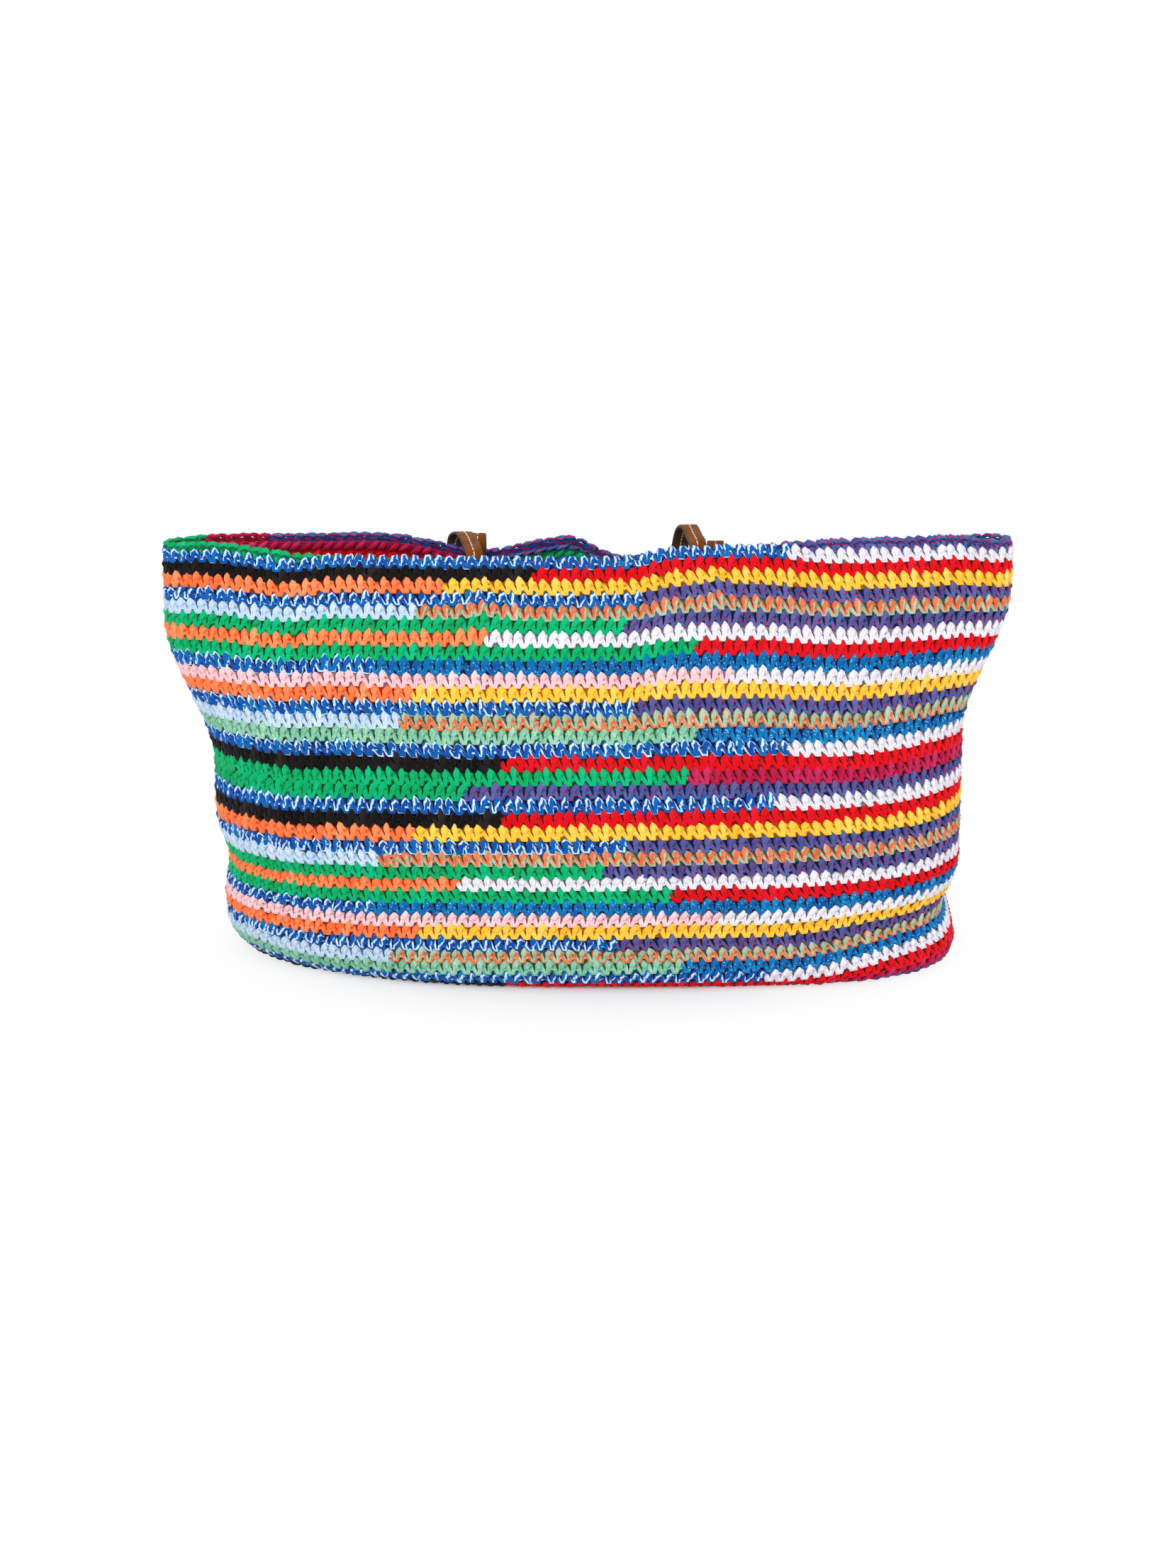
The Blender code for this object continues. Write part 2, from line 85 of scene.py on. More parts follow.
def mesh_of(work: bmesh.types.BMesh, name: str) -> bpy.types.Mesh:
    """Turns finished work into a mesh, and frees the work.

    Args:
        work: The finished work.
        name: Name of the mesh.

    Returns:
        The mesh.
    """
    mesh = bpy.data.meshes.new(name)
    work.to_mesh(mesh)
    work.free()
    return mesh


def points_of(mesh: bpy.types.Mesh) -> np.ndarray:
    """Reads the points of a mesh.

    Args:
        mesh: The mesh.

    Returns:
        The points, one a row.
    """
    values = np.zeros(len(mesh.vertices) * 3)
    mesh.vertices.foreach_get("co", values)
    return values.reshape(-1, 3)


def dots(first: np.ndarray, second: np.ndarray) -> np.ndarray:
    """Multiplies the vectors of two lists, one a row, pair by pair."""
    return np.einsum("ij,ij->i", first, second)


def placed(name: str, data: bpy.types.ID) -> bpy.types.Object:
    """Makes an object and puts it into the scene.

    Args:
        name: Name of the object.
        data: What it holds.

    Returns:
        The object.
    """
    made = bpy.data.objects.new(name, data)
    bpy.context.scene.collection.objects.link(made)
    return made


def mark(mesh: bpy.types.Mesh, name: str, values: np.ndarray) -> None:
    """Gives every point of a mesh a number that its finish reads."""
    mesh.attributes.new(name, "FLOAT", "POINT").data.foreach_set("value", values)


class Side(Enum):
    """The two long walls of the bag, as the sign of Y."""

    FRONT = -1
    BACK = 1


@dataclass(frozen=True)
class BagForm:
    """Sizes of the crochet tube from its base to its rim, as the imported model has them."""

    height: float = 0.260
    mouth_length: float = 0.529
    mouth_depth: float = 0.068
    belly_length: float = 0.471
    belly_depth: float = 0.208
    wall: float = 0.0045
    ridge: float = 0.0014
    rows: int = 36
    left_flare: Pair = (0.120, 0.214)
    right_flare: Pair = (0.140, 0.235)
    closing_start: float = 0.095
    closing_power: float = 1.2
    left_squareness: float = 2.15
    right_squareness: float = 3.6
    squareness_height: float = 0.150
    left_rounding: float = 0.024
    right_rounding: float = 0.013
    side_rounding: float = 0.016
    rounding_power: int = 4
    left_taper: Pair = (0.0065, 0.100)
    right_taper: Pair = (0.0035, 0.130)
    left_crease: Triple = (0.060, 0.0058, 0.016)
    right_crease: Triple = (0.037, 0.0090, 0.014)
    left_shoulder_lift: float = 0.005
    left_shoulder_ramp: Pair = (0.66, 0.22)
    left_corner_drop: float = 0.6
    left_corner_ramp: Pair = (0.90, 0.10)
    right_step_lift: float = 0.0065
    right_step_ramp: Pair = (0.08, 0.14)
    right_shoulder_lift: float = 0.0035
    right_shoulder_ramp: Pair = (0.22, 0.45)
    right_corner_drop: float = 0.55
    right_corner_ramp: Pair = (0.84, 0.16)
    right_back_ramp: Pair = (0.78, 0.22)
    rear_sag: float = 0.003
    rear_sag_ramp: Pair = (-0.100, 0.060)
    left_dip: float = 0.0135
    left_dip_place: float = -0.070
    left_dip_width: float = 0.036
    right_dip: float = 0.018
    right_dip_start: Pair = (-0.014, 0.036)
    right_dip_end: Pair = (0.120, 0.065)
    slip: float = 1.35
    slip_ramp: Pair = (0.04, 0.62)
    return_ramp: Pair = (0.66, 0.28)
    left_return: float = 0.9
    left_return_ramp: Pair = (0.70, 0.25)
    right_return: float = 1.6
    right_return_ramp: Pair = (0.45, 0.40)
    slip_tilt: float = 0.6
    slip_tilt_ramp: Pair = (0.35, 0.35)
    lip_top_row: float = -0.1
    ring_samples: int = 720
    face_step: float = 0.004

    def half_lengths(self, height: float) -> Pair:
        """Measures the oval from its middle to both ends.

        Args:
            height: Height above the floor.

        Returns:
            The left and the right half-length.
        """
        flare = (self.mouth_length - self.belly_length) / 2
        left_share = (height - self.left_flare[0]) / (self.left_flare[1] - self.left_flare[0])
        right_share = (height - self.right_flare[0]) / (self.right_flare[1] - self.right_flare[0])
        half = self.belly_length / 2
        left = half + flare * smooth_step(left_share) - self.dent(height, self.left_crease)
        right = half + flare * smooth_step(right_share) - self.dent(height, self.right_crease)
        return left - self.drawn_in(height, self.left_taper), right - self.drawn_in(height, self.right_taper)

    @staticmethod
    def dent(height: float, crease: Triple) -> float:
        """Measures how far a crease of a middle height, depth and half-height presses in at a height."""
        middle, depth, half_height = crease
        return depth * math.exp(-(((height - middle) / half_height) ** 2))

    @staticmethod
    def drawn_in(height: float, taper: Pair) -> float:
        """Measures how far an end has drawn in at a height, by its full reach and where that starts."""
        reach, start = taper
        return reach * (1.0 - float(smooth_step(height / start)))

    def half_depth(self, height: float) -> float:
        """Measures the oval from its middle to its front at a height above the floor."""
        share = max((height - self.closing_start) / (self.height - self.closing_start), 0.0)
        return self.belly_depth / 2 + (self.mouth_depth - self.belly_depth) / 2 * share**self.closing_power

    def right_power(self, height: float) -> float:
        """Gives the exponent of the right half of the oval at a height. It is squarer near the base."""
        fade = 1.0 - smooth_step(height / self.squareness_height)
        return self.left_squareness + (self.right_squareness - self.left_squareness) * fade

    def ring(self, turns: np.ndarray, height: float, inset: float = 0.0) -> np.ndarray:
        """Finds points of the oval at a height.

        Args:
            turns: Shares of the way round, from the left end along the front.
            height: Height above the floor.
            inset: How far each side is moved in.

        Returns:
            X and Y of each point, one point a row.
        """
        angle = math.pi + np.linspace(0.0, 2.0 * math.pi, self.ring_samples + 1)
        cosine, sine = np.cos(angle), np.sin(angle)
        left, right = self.half_lengths(height)
        power = np.where(cosine < 0.0, 2.0 / self.left_squareness, 2.0 / self.right_power(height))
        x = (np.where(cosine < 0.0, left, right) - inset) * np.sign(cosine) * np.abs(cosine) ** power
        y = (self.half_depth(height) - inset) * np.sign(sine) * np.abs(sine) ** power
        way = lengths_along(np.column_stack((x, y)))
        wanted = turns % 1.0 * way[-1]
        return np.column_stack((np.interp(wanted, way, x), np.interp(wanted, way, y)))

    def rounding(self, x: np.ndarray) -> np.ndarray:
        """Gives the radius of the turn from the wall to the base, at places from left to right."""
        more = np.where(x < 0.0, self.left_rounding, self.right_rounding) - self.side_rounding
        return self.side_rounding + more * np.abs(x / (self.belly_length / 2)) ** self.rounding_power

    def rim_lift(self, place: np.ndarray) -> np.ndarray:
        """Measures how far the rim stands above or below the height of the bag.

        Args:
            place: X and Y of points of the rim, one a row.

        Returns:
            The lift at each point.
        """
        x, y = place[:, 0], place[:, 1]
        share = x / (self.mouth_length / 2)
        left_rise, right_rise = ramp(-share, self.left_shoulder_ramp), ramp(share, self.right_back_ramp)
        right_lift = self.right_step_lift + self.right_shoulder_lift
        left_fall = self.left_corner_drop * ramp(-share, self.left_corner_ramp)
        front = self.left_shoulder_lift * (left_rise - left_fall)
        front = front + self.right_step_lift * ramp(share, self.right_step_ramp)
        front = front + self.right_shoulder_lift * ramp(share, self.right_shoulder_ramp)
        front = front - right_lift * self.right_corner_drop * ramp(share, self.right_corner_ramp)
        rear = self.left_shoulder_lift * (1.0 - self.left_corner_drop) * left_rise
        rear = rear + right_lift * (1.0 - self.right_corner_drop) * right_rise
        rear = rear - self.rear_sag * ramp(x, self.rear_sag_ramp) * (1.0 - right_rise)
        rear = rear - self.left_dip * np.exp(-(((x - self.left_dip_place) / self.left_dip_width) ** 2))
        rear = rear - self.right_dip * ramp(x, self.right_dip_start) * (1.0 - ramp(x, self.right_dip_end))
        return np.where(y < 0.0, front, rear)

    def row_slip(self, rows: np.ndarray, x: float) -> np.ndarray:
        """Measures by how many rows the rows lie lower on the wall than an even count puts them.

        Args:
            rows: Rows, counted down from the rim.
            x: Place from left to right.

        Returns:
            The slip of each row.
        """
        share = x / (self.belly_length / 2)
        won_back = self.left_return * ramp(-share, self.left_return_ramp)
        won_back = won_back + self.right_return * ramp(share, self.right_return_ramp)
        down = rows / self.rows
        slip = self.slip * ramp(down, self.slip_ramp) - won_back * ramp(down, self.return_ramp)
        return slip - self.slip_tilt * share * ramp(down, self.slip_tilt_ramp)

    def wall_depth(self, x: float, height: float, proud: float) -> float:
        """Measures how far the wall lies from the middle plane.

        Args:
            x: Place from left to right.
            height: Height above the floor.
            proud: How far the measured surface stands outside the wall.

        Returns:
            The distance along Y.
        """
        left, right = self.half_lengths(height)
        reach, power = (left, self.left_squareness) if x < 0.0 else (right, self.right_power(height))
        share = min(abs(x) / (reach + proud), 1.0)
        return (self.half_depth(height) + proud) * (1.0 - share**power) ** (1.0 / power)

    def wall_face(self, x: float, height: float) -> Vector:
        """Finds the direction square to the back wall.

        Args:
            x: Place from left to right.
            height: Height above the floor.

        Returns:
            The unit vector out of the wall.
        """
        step = self.face_step
        across = self.wall_depth(x + step, height, 0.0) - self.wall_depth(x - step, height, 0.0)
        upward = self.wall_depth(x, height + step, 0.0) - self.wall_depth(x, height - step, 0.0)
        return Vector((-across, 2 * step, -upward)).normalized()


class Skin:
    """The outer surface of the crochet as a grid of points, read at any turn and row.

    Rows are counted down from the rim. The lip and the inner wall have negative rows, and the base has the
    rounds past the last row of the wall.
    """

    TURNS = 540
    ROW_STEP = 0.2
    FIRST_ROW = -3.0
    BASE_ROUNDS = 11
    BASE_HEIGHT = 0.0013
    LIP_RADIUS = 0.0015
    LIP_START_ROW = 0.32
    TOP_SPARE = 0.016
    WALL_SAMPLES = 90
    ROUND_SAMPLES = 16
    INSET_SAMPLES = 60
    BASE_BLEND = (0.10, 0.08)
    SAG_POWERS = (0.7, 0.5)
    SAG_WAVES = ((0.0011, 5.0, 2.1, 0.6), (0.0008, 9.0, -3.4, 2.0), (0.0005, 14.0, 5.0, 4.1))
    LEAST_AREA = 1e-12
    LEAST_LENGTH = 1e-9

    def __init__(self, form: BagForm) -> None:
        """Works out the grid.

        Args:
            form: Sizes of the bag.
        """
        self.form = form
        self.turns = np.linspace(0.0, 1.0, self.TURNS + 1)
        self.last_row = form.rows + self.BASE_ROUNDS
        self.rows = np.arange(self.FIRST_ROW, self.last_row + self.ROW_STEP / 2, self.ROW_STEP)
        self.mouth = form.ring(self.turns, form.height)
        self.lift = form.rim_lift(self.mouth)
        self.belly_x = form.ring(self.turns, form.closing_start)[:, 0]
        self.radius = form.rounding(self.belly_x)
        self._measure_ovals()
        self.rim_heights = np.zeros(self.TURNS + 1)
        self.points = np.stack([self._line(number) for number in range(self.TURNS + 1)])
        self.points[-1] = self.points[0]
        self._add_sag()
        self.normals = self._find_normals()

    def _measure_ovals(self) -> None:
        """Tabulates the oval by height, the way in from it, and the ovals of the base by inset."""
        form = self.form
        self.heights = np.linspace(0.0, form.height + self.TOP_SPARE, self.WALL_SAMPLES + 1)
        self.walls = np.stack([form.ring(self.turns, height) for height in self.heights])
        inner = np.stack([form.ring(self.turns, height, form.wall) for height in self.heights])
        self.inward = (inner - self.walls) / form.wall
        self.insets = np.linspace(0.0, form.half_depth(0.0), self.INSET_SAMPLES)
        self.base = np.stack([form.ring(self.turns, 0.0, inset) for inset in self.insets])

    def _place(self, number: int, heights: np.ndarray, insets: np.ndarray) -> np.ndarray:
        """Finds points on one line down the wall.

        Args:
            number: Which of the turns.
            heights: Height of each point.
            insets: How far each point is moved in.

        Returns:
            The points, one a row.
        """
        low = 1.0 - ramp(heights, self.BASE_BLEND)
        columns = []
        for axis in (0, 1):
            wall = np.interp(heights, self.heights, self.walls[:, number, axis])
            inward = np.interp(heights, self.heights, self.inward[:, number, axis]) * insets
            floor = np.interp(insets, self.insets, self.base[:, number, axis]) - self.base[0, number, axis]
            columns.append(wall + inward * (1.0 - low) + floor * low)
        return np.column_stack((*columns, heights))

    def _line(self, number: int) -> np.ndarray:
        """Finds the points of every row on one line, from the inner wall over the lip and down to the base.

        Args:
            number: Which of the turns.

        Returns:
            The points, one a row.
        """
        form = self.form
        radius, lift = self.radius[number], self.lift[number]
        down = np.linspace(form.height + self.TOP_SPARE, radius, self.WALL_SAMPLES)
        angles = np.linspace(0.0, math.pi / 2, self.ROUND_SAMPLES)[1:]
        heights = np.concatenate((down, radius * (1.0 - np.sin(angles))))
        insets = np.concatenate((np.zeros_like(down), radius * (1.0 - np.cos(angles))))
        way = lengths_along(self._place(number, heights, insets))
        way -= np.interp(-form.height, -heights, way)

        def along(row: np.ndarray | float) -> np.ndarray | float:
            """Gives the way down the wall to a row."""
            share = row / form.rows
            return share * way[-1] - lift * (1.0 - np.minimum(share, 1.0)) ** 2

        self.rim_heights[number] = np.interp(along(form.lip_top_row), way, heights)
        fade = np.clip((self.last_row - self.rows) / self.BASE_ROUNDS, 0.0, 1.0)
        rows = self.rows + form.row_slip(self.rows, self.belly_x[number]) * fade
        wall_way = along(np.clip(rows, self.LIP_START_ROW, form.rows))
        height = np.interp(wall_way, way, heights)
        inset = np.interp(wall_way, way, insets)
        over = np.maximum(self.LIP_START_ROW - rows, 0.0) * way[-1] / form.rows
        arc = self.LIP_RADIUS * math.pi
        angle = np.minimum(over, arc) / self.LIP_RADIUS
        height = height + self.LIP_RADIUS * np.sin(angle) - np.maximum(over - arc, 0.0)
        inset = inset + self.LIP_RADIUS * (1.0 - np.cos(angle))
        rounds = np.clip((rows - form.rows) / self.BASE_ROUNDS, 0.0, 1.0)
        inset = inset + (form.half_depth(0.0) - radius) * rounds
        points = self._place(number, height, inset)
        points[:, 2] = np.maximum(points[:, 2], self.BASE_HEIGHT)
        return points

    def _add_sag(self) -> None:
        """Gives both long walls the shallow hollows and swells of a slack cloth."""
        around = 2.0 * math.pi * self.turns[:, None]
        share = np.clip(self.rows / self.form.rows, 0.0, 1.0)[None, :]
        down_power, around_power = self.SAG_POWERS
        hold = np.sin(math.pi * share) ** down_power * np.abs(np.sin(around)) ** around_power
        swell = sum(
            size * np.sin(count * around + lean * math.pi * share + start)
            for size, count, lean, start in self.SAG_WAVES
        )
        flat = self._find_normals()
        flat[..., 2] = 0.0
        self.points += flat * (swell * hold)[..., None]

    def _find_normals(self) -> np.ndarray:
        """Finds the directions out of the skin.

        Returns:
            A unit vector for each point of the grid.
        """
        wrapped = np.concatenate((self.points[-2:-1], self.points, self.points[1:2]))
        across = wrapped[2:] - wrapped[:-2]
        down = np.gradient(self.points, axis=1)
        normals = np.cross(down, across)
        sizes = np.linalg.norm(normals, axis=2, keepdims=True)
        normals = normals / np.maximum(sizes, self.LEAST_AREA)
        normals[:, self.rows > self.form.rows + 0.5] = (0.0, 0.0, -1.0)
        return normals

    def lay(self, turns: np.ndarray, rows: np.ndarray, proud: np.ndarray) -> np.ndarray:
        """Lays points on the skin.

        Args:
            turns: Shares of the way round.
            rows: Rows, counted down from the rim.
            proud: How far each point stands out of the skin.

        Returns:
            The points in space, with one more axis for X, Y and Z.
        """
        column = turns % 1.0 * self.TURNS
        line = (np.clip(rows, self.FIRST_ROW, self.last_row) - self.FIRST_ROW) / self.ROW_STEP
        left = np.minimum(column.astype(int), self.TURNS - 1)
        upper = np.minimum(line.astype(int), len(self.rows) - 2)
        across = (column - left)[..., None]
        down = (line - upper)[..., None]

        def read(grid: np.ndarray) -> np.ndarray:
            """Reads a grid between its points."""
            top = grid[left, upper] * (1.0 - across) + grid[left + 1, upper] * across
            bottom = grid[left, upper + 1] * (1.0 - across) + grid[left + 1, upper + 1] * across
            return top * (1.0 - down) + bottom * down

        normals = read(self.normals)
        normals /= np.maximum(np.linalg.norm(normals, axis=-1, keepdims=True), self.LEAST_LENGTH)
        return read(self.points) + normals * proud[..., None]

    def turn_at(self, x: float, side: Side) -> float:
        """Finds the turn where the rim reaches a place.

        Args:
            x: Place from left to right.
            side: The wall to look on.

        Returns:
            The share of the way round.
        """
        half = self.TURNS // 2
        if side is Side.FRONT:
            return float(np.interp(x, self.mouth[: half + 1, 0], self.turns[: half + 1]))
        return float(np.interp(-x, -self.mouth[half:, 0], self.turns[half:]))

    def rim_height(self, x: float, side: Side) -> float:
        """Measures how high the rim of a side stands above the floor at a place from left to right."""
        return float(np.interp(self.turn_at(x, side), self.turns, self.rim_heights))


class Shader:
    """Builds the node tree of one finish."""

    MIX_INPUTS = (0, 6, 7)
    MIX_OUTPUT = 2

    def __init__(self, name: str) -> None:
        """Starts a material.

        Args:
            name: Name of the material.
        """
        self.material = bpy.data.materials.new(name)
        self.material.use_nodes = True
        self.tree = self.material.node_tree
        self.surface = self.tree.nodes["Principled BSDF"]

    def add(self, kind: str, **settings: object) -> bpy.types.Node:
        """Adds a node.

        Args:
            kind: Name of the node's type.
            **settings: Properties of the node.

        Returns:
            The node.
        """
        node = self.tree.nodes.new(kind)
        for name, value in settings.items():
            setattr(node, name, value)
        return node

    def feed(self, socket: bpy.types.NodeSocket, value: object) -> None:
        """Links an output to a socket, or sets its value.

        Args:
            socket: The input.
            value: An output, a number or a colour.
        """
        if isinstance(value, bpy.types.NodeSocket):
            self.tree.links.new(value, socket)
        elif isinstance(value, tuple) and len(value) == 3 and socket.type == "RGBA":
            socket.default_value = (*value, 1.0)
        else:
            socket.default_value = value

    def math(
        self, operation: str, first: object, second: object = 0.0, third: object = 0.0
    ) -> bpy.types.NodeSocket:
        """Adds a calculation.

        Args:
            operation: Name of the operation.
            first: First number or output.
            second: Second number or output.
            third: Third number or output.

        Returns:
            The result's output.
        """
        node = self.add("ShaderNodeMath", operation=operation)
        for socket, value in zip(node.inputs, (first, second, third)):
            self.feed(socket, value)
        return node.outputs[0]

    def mix(self, share: object, first: object, second: object, blend: str = "MIX") -> bpy.types.NodeSocket:
        """Mixes two colours.

        Args:
            share: How much of the second colour.
            first: First colour or output.
            second: Second colour or output.
            blend: Name of the way of mixing.

        Returns:
            The colour's output.
        """
        node = self.add("ShaderNodeMix", data_type="RGBA", blend_type=blend)
        for number, value in zip(self.MIX_INPUTS, (share, first, second)):
            self.feed(node.inputs[number], value)
        return node.outputs[self.MIX_OUTPUT]

    def spread(
        self, value: object, low: float, high: float, to_low: float = 0.0, to_high: float = 1.0
    ) -> bpy.types.NodeSocket:
        """Maps a range of a value to another, with smooth ends.

        Args:
            value: The output to map.
            low: Where the range starts.
            high: Where the range ends.
            to_low: What its start becomes.
            to_high: What its end becomes.

        Returns:
            The mapped output.
        """
        node = self.add("ShaderNodeMapRange", interpolation_type="SMOOTHSTEP")
        for socket, number in zip(node.inputs, (value, low, high, to_low, to_high)):
            self.feed(socket, number)
        return node.outputs[0]

    def scaled(self, vector: bpy.types.NodeSocket, scale: Triple) -> bpy.types.NodeSocket:
        """Stretches a pattern's coordinates.

        Args:
            vector: The coordinates.
            scale: Factor along each axis.

        Returns:
            The stretched coordinates.
        """
        node = self.add("ShaderNodeMapping")
        self.feed(node.inputs["Vector"], vector)
        node.inputs["Scale"].default_value = scale
        return node.outputs[0]

    def noise(self, vector: bpy.types.NodeSocket, scale: float, detail: float = 2.0) -> bpy.types.NodeSocket:
        """Adds a cloudy pattern.

        Args:
            vector: The coordinates.
            scale: How fine the pattern is.
            detail: How many finer layers it has.

        Returns:
            The pattern's output.
        """
        node = self.add("ShaderNodeTexNoise")
        self.feed(node.inputs["Vector"], vector)
        node.inputs["Scale"].default_value = scale
        node.inputs["Detail"].default_value = detail
        return node.outputs[0]

    def cells(self, vector: bpy.types.NodeSocket, scale: float, feature: str = "F1") -> bpy.types.Node:
        """Adds a pattern of cells.

        Args:
            vector: The coordinates.
            scale: How fine the pattern is.
            feature: What of the cells it measures.

        Returns:
            The pattern's node.
        """
        node = self.add("ShaderNodeTexVoronoi", feature=feature)
        self.feed(node.inputs["Vector"], vector)
        node.inputs["Scale"].default_value = scale
        return node

    def strand(self) -> tuple[bpy.types.NodeSocket, bpy.types.NodeSocket, bpy.types.NodeSocket]:
        """Reads the UV map that runs along a strand in millimetres and once round it.

        Returns:
            The coordinates, the way along, and the share of the way round.
        """
        place = self.add("ShaderNodeUVMap", uv_map="strand").outputs[0]
        parts = self.add("ShaderNodeSeparateXYZ")
        self.feed(parts.inputs[0], place)
        return place, parts.outputs[0], parts.outputs[1]

    def attribute(self, name: str) -> bpy.types.NodeSocket:
        """Reads a number that the mesh carries under a name."""
        return self.add("ShaderNodeAttribute", attribute_name=name).outputs["Fac"]

    def bump(self, height: bpy.types.NodeSocket, depth: float, strength: float = 1.0) -> None:
        """Raises the surface by a pattern.

        Args:
            height: The pattern.
            depth: Its full height in metres.
            strength: How much of it shows.
        """
        node = self.add("ShaderNodeBump")
        node.inputs["Distance"].default_value = depth
        node.inputs["Strength"].default_value = strength
        self.feed(node.inputs["Height"], height)
        self.feed(self.surface.inputs["Normal"], node.outputs[0])

    def settle(self, **values: object) -> None:
        """Sets or links sockets of the surface, by name with underscores for spaces."""
        for name, value in values.items():
            self.feed(self.surface.inputs[name.replace("_", " ")], value)


def linear(colour: Colour) -> Colour:
    """Turns a colour as seen on a screen into light, by the curve that screens use."""
    return tuple(c / 12.92 if c <= 0.04045 else ((c + 0.055) / 1.055) ** 2.4 for c in colour)


@dataclass(frozen=True)
class YarnFinish:
    """Two strands of cotton worked together as one yarn. What all yarns share stands in capitals."""

    name: str
    first: Colour
    second: Colour
    split: float = 0.5
    pairs: int = 1
    swap_length: float = 50.0
    # Bright colour of the metallic flakes, a painted glint.
    painted_glint: Colour | None = None
    glint_share: float = 0.0
    fullness: float = 1.0

    WANDER_SCALE = 0.25
    WANDER = (0.8, 0.1)
    STRAND_TURNS = 1.25
    SINGLE_STRAND_SHADES = (0.55, 0.72)
    GROOVE_PLACE = 0.4
    GROOVE_WIDTH = 0.10
    GROOVE_PAINTED_SHADE = (0.90, 0.98)
    FIBRE_STRETCH = (1.3, 15.0, 1.0)
    FIBRE_RANGE = (0.3, 0.7)
    FIBRE_LIGHT = (0.87, 1.12)
    FIBRE_RELIEF = 0.22
    HOLLOW_SHADES = (0.55, 0.82)
    HOLLOW_PAINTED_SHADE = (0.42, 1.0)
    PAINTED_SHADE_GAMMA = (-1.7, 2.7)
    SPARK_STRETCH = (1.5, 6.0, 1.0)
    SPARK_EDGE = (0.28, 0.46)
    SPARK_ROUGHNESS = (0.9, 0.25)
    RELIEF = 0.28 * MM

    def sparkle(
        self, shader: Shader, place: bpy.types.NodeSocket, colour: bpy.types.NodeSocket
    ) -> bpy.types.NodeSocket:
        """Adds the small metallic flakes of the sparkle yarns: their bright colour is a painted glint, and
        their lower roughness gives a real reflection.

        Args:
            shader: The material at work.
            place: Coordinates along and round the strand.
            colour: The yarn's colour without them.

        Returns:
            The colour with them.
        """
        cells = shader.cells(shader.scaled(place, self.SPARK_STRETCH), scale=1.0)
        chance = shader.add("ShaderNodeSeparateColor")
        shader.feed(chance.inputs[0], cells.outputs["Color"])
        lit = shader.math("GREATER_THAN", chance.outputs[0], 1.0 - self.glint_share)
        near = shader.spread(cells.outputs["Distance"], *self.SPARK_EDGE, 1.0, 0.0)
        spark = shader.math("MULTIPLY", lit, near)
        shader.settle(Roughness=shader.spread(spark, 0.0, 1.0, *self.SPARK_ROUGHNESS))
        return shader.mix(spark, colour, linear(self.painted_glint))

    def material(self) -> bpy.types.Material:
        """Makes the yarn's material.

        Returns:
            The material.
        """
        shader = Shader(f"{self.name}_yarn")
        place, along, around = shader.strand()
        cloud = shader.noise(place, self.WANDER_SCALE, detail=1.0)
        wander = shader.math("MULTIPLY_ADD", cloud, *self.WANDER)
        twist = shader.math("MULTIPLY_ADD", along, 1.0 / self.swap_length, wander)
        turn = shader.math("MULTIPLY_ADD", around, self.STRAND_TURNS * self.pairs, twist)
        # The shade value is the painted shade of each point, with a random tone per stitch.
        shade = shader.attribute("shade")
        split = shader.spread(shade, *self.SINGLE_STRAND_SHADES, 1.0, self.split)
        second_share = shader.math("GREATER_THAN", shader.math("FRACT", turn), split)
        colour = shader.mix(second_share, linear(self.first), linear(self.second))
        # Painted shade: the yarn is a little darker in the groove between its two strands.
        off_groove = shader.math("ABSOLUTE", shader.math("SUBTRACT", around, self.GROOVE_PLACE))
        crown = shader.spread(off_groove, 0.0, self.GROOVE_WIDTH)
        painted_groove_shade = shader.spread(crown, 0.0, 1.0, *self.GROOVE_PAINTED_SHADE)
        fibre = shader.noise(shader.scaled(place, self.FIBRE_STRETCH), scale=1.0, detail=3.0)
        streak = shader.spread(fibre, *self.FIBRE_RANGE, *self.FIBRE_LIGHT)
        # Painted shade: the yarn is darker where the shade value is low, deep in and between the stitches.
        painted_hollow_shade = shader.spread(shade, *self.HOLLOW_SHADES, *self.HOLLOW_PAINTED_SHADE)
        depth = shader.math("MULTIPLY", painted_hollow_shade, painted_groove_shade)
        # The fibre streaks are the yarn's own tone; the depth they are multiplied by is painted shade.
        streaks_and_painted_shade = shader.add("ShaderNodeCombineColor")
        for socket in streaks_and_painted_shade.inputs:
            shader.feed(socket, shader.math("MULTIPLY", streak, depth))
        # Painted shade: a power on the colour darkens and deepens it where the shade value is low.
        colour_with_painted_shade = shader.add("ShaderNodeGamma")
        shader.feed(colour_with_painted_shade.inputs["Color"], colour)
        shader.feed(colour_with_painted_shade.inputs["Gamma"], shader.math("MULTIPLY_ADD", shade, *self.PAINTED_SHADE_GAMMA))
        colour = shader.mix(1.0, colour_with_painted_shade.outputs[0], streaks_and_painted_shade.outputs[0], "MULTIPLY")
        shader.settle(Roughness=0.94, Sheen_Weight=0.08, Sheen_Roughness=0.45, Specular_IOR_Level=0.12)
        if self.painted_glint:
            colour = self.sparkle(shader, place, colour)
        shader.settle(Base_Color=colour)
        shader.bump(shader.math("MULTIPLY_ADD", fibre, self.FIBRE_RELIEF, crown), self.RELIEF)
        return shader.material


